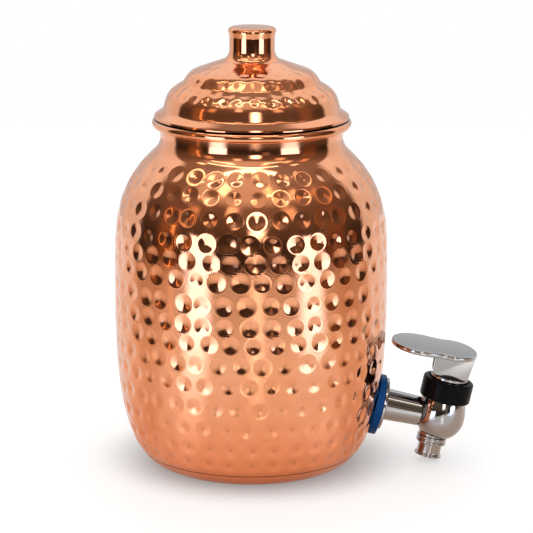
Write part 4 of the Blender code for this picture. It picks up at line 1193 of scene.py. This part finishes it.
class DISPENSER_OT_lid(bpy.types.Operator):
    """Make the stepped lid, its collar and its knob"""

    bl_idname = "dispenser.lid"
    bl_label = "Stepped lid"

    def execute(self, context):
        v, s = context.scene.dispenser_vessel, context.scene.dispenser_lid
        bottom = rim_top(v) + seat_gap
        mouth = v.neck_radius - v.wall
        foot = mouth - s.inset
        self.make_sheet(context.scene, bottom, foot, mouth + v.bead_radius + s.flange_overhang)
        self.make_collar(s, bottom, foot - s.wall - seat_gap)
        self.make_knob(s, bottom + s.top_height)
        return {"FINISHED"}

    def make_sheet(self, scene, bottom, foot, flange):
        """Make the lid's sheet, with its two tiers and its flange."""
        v, s, h = scene.dispenser_vessel, scene.dispenser_lid, scene.dispenser_hammer
        copper = finish("hammered copper")
        top = bottom + s.top_height
        corners = [
            (s.screw_hole, top),
            (s.top_radius, top, lid_top_fillet),
            (foot - s.crease_inset - s.upper_lean, bottom + s.upper_height, s.upper_fillet),
            (foot - s.crease_inset, bottom + s.crease_height, s.crease_fillet),
            (foot - s.lower_lean, bottom + s.lower_height, s.lower_fillet),
            (foot, bottom + s.flange_rise, s.flange_root_fillet),
            (flange, bottom + s.flange_edge, s.flange_edge_fillet),
            (flange, bottom),
        ]
        outer = evenly(rounded(corners, lid_round_step), lid_step)
        inner = sideways(evenly(rounded(corners, lid_round_step * 2), lid_inner_step), s.wall)
        mesh = turned("lid_sheet", outer + inner[::-1], v.mesh_turns, closed=True)
        rows = [(bottom + height, first, depth) for height, first, depth in lid_rows]
        marks = marks_object("lid_marks", outer, rows, h.lid_pitch, h.lid_reach, h.stray * lid_stray_share,
                             h.seed + 1)
        mesh = smooth(hammered("lid_sheet", mesh, marks, h.lid_depth, copper))
        add_piece("lid_sheet", mesh, copper, "lid", "lid_dome")

    def make_collar(self, s, bottom, outside):
        """Make the ring under the lid that locates it in the neck."""
        inside = outside - s.collar_wall
        high, low = bottom + s.collar_rise, bottom - s.collar_drop
        fillet = s.collar_wall * s.collar_roundness
        corners = ((inside, high), (outside, high), (outside, low), (inside, low))
        corners = [(x, y, fillet) for x, y in corners]
        mesh = turned("lid_locating_ring", rounded(corners, closed=True), fine_turns, closed=True)
        add_piece("lid_locating_ring", mesh, finish("polished copper"), "lid", "lid_collar")

    def make_knob(self, s, top):
        """Make the knob, its foot closed down on the lid."""
        low = top + weld_distance
        high = top + seat_gap + s.knob_height
        outline = rounded([
            (0, high),
            (s.knob_radius, high - s.knob_crown, s.knob_fillet),
            (s.waist_radius, low + s.waist_height, s.waist_fillet),
            (s.waist_radius, low + s.root_height, s.root_fillet),
            (s.foot_radius, low),
            (0, low),
        ], knob_round_step)
        add_piece("turned_knob", turned("turned_knob", outline, knob_turns), finish("polished copper"), "lid",
                  "lid_knob")


def ball_outline(t, extra):
    """Return the ball's outline from the collar's underside down to its foot, larger by an extra."""
    angle = math.asin((t.collar_bottom - seat_gap) / t.ball_rise)
    upper = arc((0, 0), (t.ball_radius + extra, t.ball_rise + extra), angle, 0, ball_steps[0])
    lower = arc((0, 0), (t.ball_radius + extra,) * 2, 0, -math.pi / 2, ball_steps[1])
    return upper + lower[1:-1] + [(0, -t.ball_radius - extra)]


class DISPENSER_OT_tap(bpy.types.Operator):
    """Make the washer, shank, valve body, nozzle, bonnet and black collar"""

    bl_idname = "dispenser.tap"
    bl_label = "Tap"

    def execute(self, context):
        v, t = context.scene.dispenser_vessel, context.scene.dispenser_tap
        shank, stem = tap_frames()
        beside = stem @ Matrix.Translation((-t.outlet_offset, 0, 0))
        spigot_end = t.shank_length - t.ball_radius + t.spigot_reach
        nozzle_top = -(t.boss_depth + seat_gap)
        flange_low = t.rim_height + seat_gap
        flange_high = flange_low + t.bonnet_flange
        self.make_washer(v, t, shank)
        self.make_shank(t, shank, stem, spigot_end)
        self.make_body(t, shank, stem, beside, spigot_end + seat_gap, nozzle_top)
        self.make_nozzle(t, beside, nozzle_top)
        self.make_bonnet(t, stem, flange_low, flange_high)
        self.make_collar(t, stem, flange_high + seat_gap)
        return {"FINISHED"}

    def make_washer(self, v, t, shank):
        """Make the blue washer, its back cut to the wall. It hangs on the shank's tail."""
        outline = rounded([
            (t.washer_bore, t.washer_thickness),
            (t.washer_radius, t.washer_thickness, t.washer_fillet),
            (t.washer_radius, -t.washer_saddle),
            (t.washer_bore, -t.washer_saddle),
        ])
        hung = shank @ Matrix.Translation((t.washer_bore - t.tail_radius - seat_gap, 0, 0))
        washer = placed(turned("blue_washer", outline, plain_turns, closed=True), hung)
        run = sideways(wall_run(v, v.lap_height * saddle_laps, v.seam_height, pan_step), -seat_gap)
        saddle = turned("saddle", [(0, run[0][1])] + run + [(0, run[-1][1])], fine_turns)
        washer = joined("blue_washer", washer, [("DIFFERENCE", saddle)])
        add_piece("blue_washer", washer, finish("blue silicone"), "root", "outer_washer")

    def make_shank(self, t, shank, stem, spigot_end):
        """Make the flanged shank with its tail, its spigot in the ball and its bore."""
        back = t.washer_thickness + seat_gap
        face = back + t.flange_thickness
        outline = rounded([
            (0, t.shank_length - t.chamber_radius),
            (t.shank_tip, t.shank_length - t.chamber_radius),
            (t.shank_root, face, t.shank_fillet),
            (t.flange_radius, face, t.flange_fillet),
            (t.flange_radius, back, fine_fillet),
            (t.tail_radius, back),
            (t.tail_radius, -t.tail_reach, t.tail_chamfer),
            (0, -t.tail_reach),
        ])
        ball = ball_outline(t, seat_gap)
        tube = joined("tap_shank", placed(turned("tap_shank", outline, t.turn_steps), shank), [
            ("DIFFERENCE", placed(turned("ball_space", [(0, ball[0][1])] + ball, t.turn_steps), stem)),
            ("UNION", rod("shank_spigot", t.turn_steps, shank, t.spigot_radius, face, spigot_end)),
            ("DIFFERENCE", rod("shank_bore", t.turn_steps, shank, t.bore, -t.tail_reach - cut_overrun,
                               t.shank_length)),
        ])
        add_piece("tap_shank", tube, finish("polished chrome"), "root", "shank")

    def make_body(self, t, shank, stem, beside, socket_end, nozzle_top):
        """Make the round valve body with its chamber, its orifice and its two sockets."""
        outline = ball_outline(t, 0)
        outline = [(0, t.rim_height), (t.rim_radius, t.rim_height), (t.rim_radius, outline[0][1])] + outline
        under_ball = -t.ball_radius - cut_overrun
        rods = (
            ("UNION", "outlet_boss", beside, t.boss_radius, -t.boss_depth, -t.seat_depth),
            ("DIFFERENCE", "outlet_face", beside, t.ring_radius + seat_gap, under_ball, -t.boss_depth),
            ("DIFFERENCE", "chamber", stem, t.chamber_radius, -t.seat_depth, t.rim_height + cut_overrun),
            ("DIFFERENCE", "orifice", stem, t.orifice, -t.ball_radius, cut_overrun - t.seat_depth),
            ("DIFFERENCE", "nozzle_socket", beside, t.nozzle_spigot + seat_gap, under_ball,
             nozzle_top + t.nozzle_spigot_length + seat_gap),
            ("DIFFERENCE", "shank_socket", shank, t.spigot_radius + seat_gap, t.shank_length - t.ball_rise,
             socket_end),
            ("DIFFERENCE", "inlet", shank, t.bore, socket_end - cut_overrun, t.shank_length),
        )
        changes = [(operation, rod(name, t.turn_steps, *place)) for operation, name, *place in rods]
        body = placed(turned("valve_body", outline, t.turn_steps), stem)
        body = joined("valve_body", body, changes)
        add_piece("valve_body", body, finish("polished chrome"), "root", "tap_body")

    def make_nozzle(self, t, beside, top):
        """Make the nozzle with its grooved ring and its widened lip."""
        groove = top - t.ring_length / 2
        ring_bottom = top - t.ring_length
        lip_bottom = top - t.nozzle_length
        outline = rounded([
            (t.nozzle_bore, top + t.nozzle_spigot_length),
            (t.nozzle_spigot, top + t.nozzle_spigot_length),
            (t.nozzle_spigot, top),
            (t.ring_radius, top, t.ring_fillet),
            (t.ring_radius, groove + t.groove_half, t.ring_fillet),
            (t.ring_radius - t.groove_depth, groove + t.groove_half),
            (t.ring_radius - t.groove_depth, groove - t.groove_half),
            (t.ring_radius, groove - t.groove_half, t.ring_fillet),
            (t.ring_radius, ring_bottom, t.ring_fillet),
            (t.nozzle_radius, ring_bottom, fine_fillet),
            (t.nozzle_radius, lip_bottom + t.lip_length, t.bell_fillet),
            (t.lip_radius, lip_bottom + t.lip_length / 2, t.lip_fillet),
            (t.lip_radius, lip_bottom, t.lip_fillet),
            (t.nozzle_bore, lip_bottom, fine_fillet),
        ], closed=True)
        nozzle = placed(turned("spout_tube", outline, t.turn_steps, closed=True), beside)
        add_piece("spout_tube", nozzle, finish("polished chrome"), "root", "spout_nozzle")

    def make_bonnet(self, t, stem, flange_low, flange_high):
        """Make the bonnet, with a groove for its outer ring and one for the stem's ring."""
        plug = t.chamber_radius - seat_gap
        plug_end = t.rim_height - t.plug_depth
        hole = t.stem_radius + seat_gap
        half = t.ring_section + seat_gap
        outer_groove, outer_ring = plug - t.ring_section - half, t.rim_height - t.body_ring_depth
        inner_groove, inner_ring = hole + 2 * half - seat_gap, t.rim_height - t.stem_ring_depth
        outline = rounded([
            (hole, t.bonnet_height, fine_fillet),
            (t.bonnet_radius, t.bonnet_height, t.bonnet_fillet),
            (t.bonnet_radius, flange_high),
            (t.rim_radius, flange_high),
            (t.rim_radius, flange_low),
            (plug, flange_low),
            (plug, outer_ring + half),
            (outer_groove, outer_ring + half),
            (outer_groove, outer_ring - half),
            (plug, outer_ring - half),
            (plug, plug_end, fine_fillet),
            (hole, plug_end),
            (hole, inner_ring - half),
            (inner_groove, inner_ring - half),
            (inner_groove, inner_ring + half),
            (hole, inner_ring + half),
        ], closed=True)
        bonnet = placed(turned("stem_bonnet", outline, t.turn_steps, closed=True), stem)
        add_piece("stem_bonnet", bonnet, finish("polished chrome"), "root", "bonnet")

    def make_collar(self, t, stem, lip_low):
        """Make the black collar with its dished top."""
        inside = t.bonnet_radius + seat_gap
        dish = lip_low + t.collar_lip
        outline = rounded([
            (inside, dish, fine_fillet),
            (t.dish_radius, dish, fine_fillet),
            (t.dish_radius, dish + t.dish_depth, fine_fillet),
            (t.collar_radius, dish + t.dish_depth, t.collar_fillet),
            (t.collar_radius, t.collar_bottom, t.collar_foot_fillet),
            (t.rim_radius + seat_gap, t.collar_bottom, fine_fillet),
            (t.rim_radius + seat_gap, lip_low),
            (inside, lip_low),
        ], closed=True)
        collar = placed(turned("black_collar", outline, plain_turns, closed=True), stem)
        add_piece("black_collar", collar, finish("black plastic"), "root", "collar_nut")


def bevelled(mesh, width, segments):
    """Return a mesh with its sharp edges rounded."""
    piece = bpy.data.objects.new(mesh.name, mesh)
    bevel = piece.modifiers.new("edges", "BEVEL")
    bevel.width = width
    bevel.segments = segments
    bevel.limit_method = "ANGLE"
    return plain_mesh(piece)


def level_bend(first, last, steps):
    """Return points of an S-curve between two points, level at both of them."""
    middle = (first[0] + last[0]) / 2
    ends = (first, (middle, first[1]), (middle, last[1]), last)
    return [tuple(curve_point(ends, step / steps)) for step in range(steps + 1)]


def press_outline(s):
    """Return the press plate's outline: a wide front lobe, a shallow waist and a longer back lobe."""
    ahead = (s.front_reach - s.front_peak, s.front_half_width)
    behind = (s.back_reach + s.back_peak, s.back_half_width)
    waist = (s.waist_place, s.waist_half_width)
    front = arc((s.front_peak, 0), ahead, 0, math.pi / 2, lobe_steps)
    back = arc((s.back_peak, 0), behind, math.pi / 2, math.pi, lobe_steps)
    bends = level_bend(front[-1], waist, waist_steps[0])[1:] + level_bend(waist, back[0], waist_steps[1])[1:]
    half = front + bends + back[1:]
    return half + [(x, -y) for x, y in half[-2:0:-1]]


def heel_outline(s):
    """Return the heel of the lever's block: an involute, which lifts evenly as it rolls."""
    heel = []
    for number in range(heel_steps + 1):
        tilt = s.cam_sweep * number / heel_steps
        reach = s.cam_height + s.cam_roll * tilt
        heel.append((-math.sin(tilt) * reach - math.cos(tilt) * s.cam_roll,
                     math.sin(tilt) * s.cam_roll - math.cos(tilt) * reach))
    return heel


class DISPENSER_OT_lever(bpy.types.Operator):
    """Make the two-lobed press lever on its forked block"""

    bl_idname = "dispenser.lever"
    bl_label = "Press lever"

    def execute(self, context):
        t, s = context.scene.dispenser_tap, context.scene.dispenser_lever
        _, stem = tap_frames()
        pin = stem @ Matrix.Translation((0, 0, t.bonnet_height + seat_gap + s.cam_height))
        middle = s.plate_top - s.plate_thickness / 2
        upright = Matrix.Rotation(math.pi / 2, 4, "X")
        outline = rounded([(s.shoulder, middle), (s.toe, -s.cam_height, s.toe_fillet)] + heel_outline(s)
                          + [(-s.shoulder, middle)])
        block = placed(slab("press_lever", outline, s.half_depth), upright)
        block = bevelled(block, s.block_bevel, segments=3)

        plate = slab("press_plate", press_outline(s), s.plate_thickness / 2)
        plate.transform(Matrix.Rotation(-s.pitch, 4, "Y") @ Matrix.Translation((0, 0, middle)))
        plate = bevelled(plate, s.plate_bevel, segments=5)

        fork_top = s.plate_top - s.plate_thickness - s.fork_roof
        slot = box("fork_slot", (-s.shoulder - cut_overrun, -s.fork_half_gap, -s.cam_height - cut_overrun),
                   (s.eye_radius + seat_gap, s.fork_half_gap, fork_top))
        hole = rod("pin_hole", pin_turns, upright, s.pin_radius + pin_play, -s.half_depth - cut_overrun,
                   s.pin_reach + seat_gap)
        lever = joined("press_lever", block, [("UNION", plate), ("DIFFERENCE", slot), ("DIFFERENCE", hole)])
        add_piece("press_lever", placed(lever, pin), finish("polished chrome"), "lever", "lever")
        return {"FINISHED"}


kept_nodes = {
    "rim_wire": "polished copper",
    "knob_screw": "turned steel",
    "knob_washer": "turned steel",
    "inner_washer": "milky silicone",
    "backing_washer": "turned steel",
    "shank_nut": "turned steel",
    "bonnet_ring": "black rubber",
    "stem_ring": "black rubber",
    "valve_stem": "turned steel",
    "seat_cup": "milky silicone",
    "spring_washer": "turned steel",
    "closing_spring": "turned steel",
    "lever_pin": "turned steel",
}


class DISPENSER_OT_fittings(bpy.types.Operator):
    """Give the pieces that stay as they are packed their finishes"""

    bl_idname = "dispenser.fittings"
    bl_label = "Inner fittings"

    def execute(self, context):
        for name, look in kept_nodes.items():
            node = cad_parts[name]
            node.data.materials.clear()
            node.data.materials.append(finish(look))
        return {"FINISHED"}


class DISPENSER_OT_stage(bpy.types.Operator):
    """Make the floor, the light and the camera"""

    bl_idname = "dispenser.stage"
    bl_label = "Stage"

    def execute(self, context):
        scene = context.scene
        look = scene.dispenser_stage
        scene.view_settings.view_transform = "Standard"
        toward = Matrix.Rotation(look.camera_turn, 4, "Z") @ Vector((0, -1, 0))
        self.make_camera(scene, look, toward)
        self.make_floor(scene, look, toward)
        self.make_world(scene, look, toward)
        return {"FINISHED"}

    def make_camera(self, scene, look, toward):
        """Add the camera at the photograph's view."""
        lens = bpy.data.cameras.new("camera")
        lens.lens = look.lens
        lens.sensor_width = 36
        lens.shift_x = look.shift
        lens.clip_end = 20
        camera = bpy.data.objects.new("camera", lens)
        scene.collection.objects.link(camera)
        camera.location = toward * look.camera_distance + Vector((0, 0, look.camera_height))
        line = Vector((0, 0, look.aim_height)) - camera.location
        facing = line.to_track_quat("-Z", "Y").to_matrix().to_4x4()
        camera.rotation_euler = (facing @ Matrix.Rotation(look.roll, 4, "Z")).to_euler()
        scene.camera = camera

    def make_floor(self, scene, look, toward):
        """Add the round white floor, with a painted shadow and, in the metal, painted light and reflections
        of its own.
        """
        outline = [(0, floor_height), (look.floor_radius, floor_height)]
        floor = bpy.data.objects.new("floor", turned("floor", outline, plain_turns))
        scene.collection.objects.link(floor)
        material, tree, shader = new_material("white floor")
        floor.data.materials.append(material)
        path = tree.nodes.new("ShaderNodeLightPath")
        mirrored = path.outputs["Is Glossy Ray"]
        place = object_place(tree)
        away = measure(tree, "LENGTH", place)
        where = [along(tree, place, axis) for axis in ((-toward.y, toward.x, 0), toward)]
        ahead = maths(tree, "DIVIDE", where[1], away)
        azimuth = maths(tree, "DEGREES", maths(tree, "ARCTAN2", *where))
        # As seen, the floor takes its painted shadow; in the metal, its painted light
        tint = mixed(tree, mirrored, self.painted_floor_shadow(tree, look, place),
                     self.painted_floor_light(tree, look, away, ahead))
        shade = vector_maths(tree, "MULTIPLY", tint, (look.floor_shade,) * 3)
        tree.links.new(shade, shader.inputs["Base Color"])
        painted_streak = maths(tree, "MULTIPLY", self.painted_streak_share(tree, look, place, away, azimuth), mirrored)
        tint = vector_maths(tree, "MULTIPLY_ADD", painted_streak, look.painted_streak, tint)
        gloss = put(tree, "ShaderNodeMix", {0: mirrored, 2: look.floor_dullness, 3: look.floor_gloss})
        tree.links.new(gloss.outputs[0], shader.inputs["Roughness"])
        seen = maths(tree, "MAXIMUM", path.outputs["Is Camera Ray"], mirrored)
        seen = maths(tree, "MAXIMUM", seen, path.outputs["Is Transmission Ray"])
        glow = put(tree, "ShaderNodeEmission",
                   {"Color": tint, "Strength": maths(tree, "MULTIPLY", seen, look.floor_glow)})
        both = put(tree, "ShaderNodeAddShader", {0: shader.outputs[0], 1: glow.outputs[0]})
        tree.links.new(both.outputs[0], tree.nodes["Material Output"].inputs["Surface"])

    def painted_floor_shadow(self, tree, look, place):
        """Return the floor's painted shadow, darker under the vessel and the tap."""
        beside = measure(tree, "DISTANCE", place, look.shadow_place)
        under = measure(tree, "DISTANCE", place, (tap_frames()[1].translation.x, 0, 0))
        near = maths(tree, "MULTIPLY", ramp(tree, beside, *vessel_shadow), ramp(tree, under, *tap_shadow))
        return put(tree, "ShaderNodeCombineXYZ", {0: near, 1: near, 2: near}).outputs[0]

    def painted_floor_light(self, tree, look, away, ahead):
        """Return the floor's painted light in the metal: one row of tones ahead, a painted shade aside and
        one painted level behind.
        """
        front = toned(tree, away, floor_painted_light)
        flank = vector_maths(tree, "MULTIPLY", front, look.flank_painted_shade)
        front = mixed(tree, ramp(tree, ahead, *flank_edge), flank, front)
        return mixed(tree, ramp(tree, ahead, *far_side_edge), (look.far_side_painted_light,) * 3, front)

    def painted_streak_share(self, tree, look, place, away, azimuth):
        """Return the share of the strips' painted reflection on the floor, in the metal."""
        light = 0.0
        for left, right, part in painted_floor_reflections:
            strip = band(tree, azimuth, left, right, streak_softness)
            light = maths(tree, "MULTIPLY_ADD", strip, part, light)
        beyond = ramp(tree, measure(tree, "DISTANCE", place, look.streak_gap), *streak_gap_edge)
        light = maths(tree, "MULTIPLY", light, beyond)
        return maths(tree, "MULTIPLY", light, ramp(tree, away, *streak_rise))

    def make_world(self, scene, look, toward):
        """Make the studio: white behind the object, and a dark side with bright strips at the camera."""
        world = bpy.data.worlds.new("studio")
        world.use_nodes = True
        scene.world = world
        tree = world.node_tree
        way = tree.nodes.new("ShaderNodeTexCoord").outputs["Generated"]
        aside, ahead, up = [along(tree, way, axis) for axis in ((-toward.y, toward.x, 0), toward, (0, 0, 1))]
        azimuth = maths(tree, "DEGREES", maths(tree, "ARCTAN2", aside, ahead))
        elevation = maths(tree, "DEGREES", maths(tree, "ARCSINE", up))
        rise = maths(tree, "MAXIMUM", up, least_rise)
        over, before = maths(tree, "DIVIDE", aside, rise), maths(tree, "DIVIDE", ahead, rise)
        tone = toned(tree, elevation, studio_tones)
        tone = lit_fields(tree, tone, azimuth, elevation, studio_lights)
        tone = lit_fields(tree, tone, over, before, studio_bars)
        white = mixed(tree, ramp(tree, elevation, *backdrop_rise), (look.backdrop,) * 3,
                      (look.backdrop_top,) * 3)
        low = maths(tree, "MULTIPLY", ramp(tree, ahead, *backdrop_middle),
                    ramp(tree, elevation, *backdrop_low_rise))
        white = mixed(tree, low, white, (look.backdrop_low,) * 3)
        tone = mixed(tree, ramp(tree, ahead, *backdrop_edge), tone, white)
        path = tree.nodes.new("ShaderNodeLightPath")
        tone = mixed(tree, path.outputs["Is Diffuse Ray"], tone, (look.fill,) * 3)
        tone = mixed(tree, path.outputs["Is Camera Ray"], tone, (1, 1, 1))
        tree.links.new(tone, tree.nodes["Background"].inputs["Color"])


operators = (DISPENSER_OT_stage, DISPENSER_OT_vessel, DISPENSER_OT_lid, DISPENSER_OT_tap, DISPENSER_OT_lever,
             DISPENSER_OT_fittings)


class DISPENSER_PT_panel(bpy.types.Panel):
    """Lists the steps that make the dispenser"""

    bl_label = "Copper water dispenser"
    bl_idname = "DISPENSER_PT_panel"
    bl_space_type = "VIEW_3D"
    bl_region_type = "UI"
    bl_category = "Dispenser"

    def draw(self, context):
        for operator in operators:
            self.layout.operator(operator.bl_idname)
        for name, group in groups.items():
            part = self.layout.box()
            part.label(text=group.__doc__)
            for setting in group.__annotations__:
                part.prop(getattr(context.scene, name), setting)


def register():
    """Register the settings, the steps and the panel."""
    for name, group in groups.items():
        bpy.utils.register_class(group)
        setattr(bpy.types.Scene, name, PointerProperty(type=group))
    for operator in operators:
        bpy.utils.register_class(operator)
    bpy.utils.register_class(DISPENSER_PT_panel)


def unregister():
    """Take back what register did."""
    bpy.utils.unregister_class(DISPENSER_PT_panel)
    for operator in reversed(operators):
        bpy.utils.unregister_class(operator)
    for name, group in reversed(groups.items()):
        delattr(bpy.types.Scene, name)
        bpy.utils.unregister_class(group)


def main():
    """Make the whole dispenser on its stage."""
    register()
    for operator in operators:
        family, name = operator.bl_idname.split(".")
        getattr(getattr(bpy.ops, family), name)()


if __name__ == "__main__":
    main()
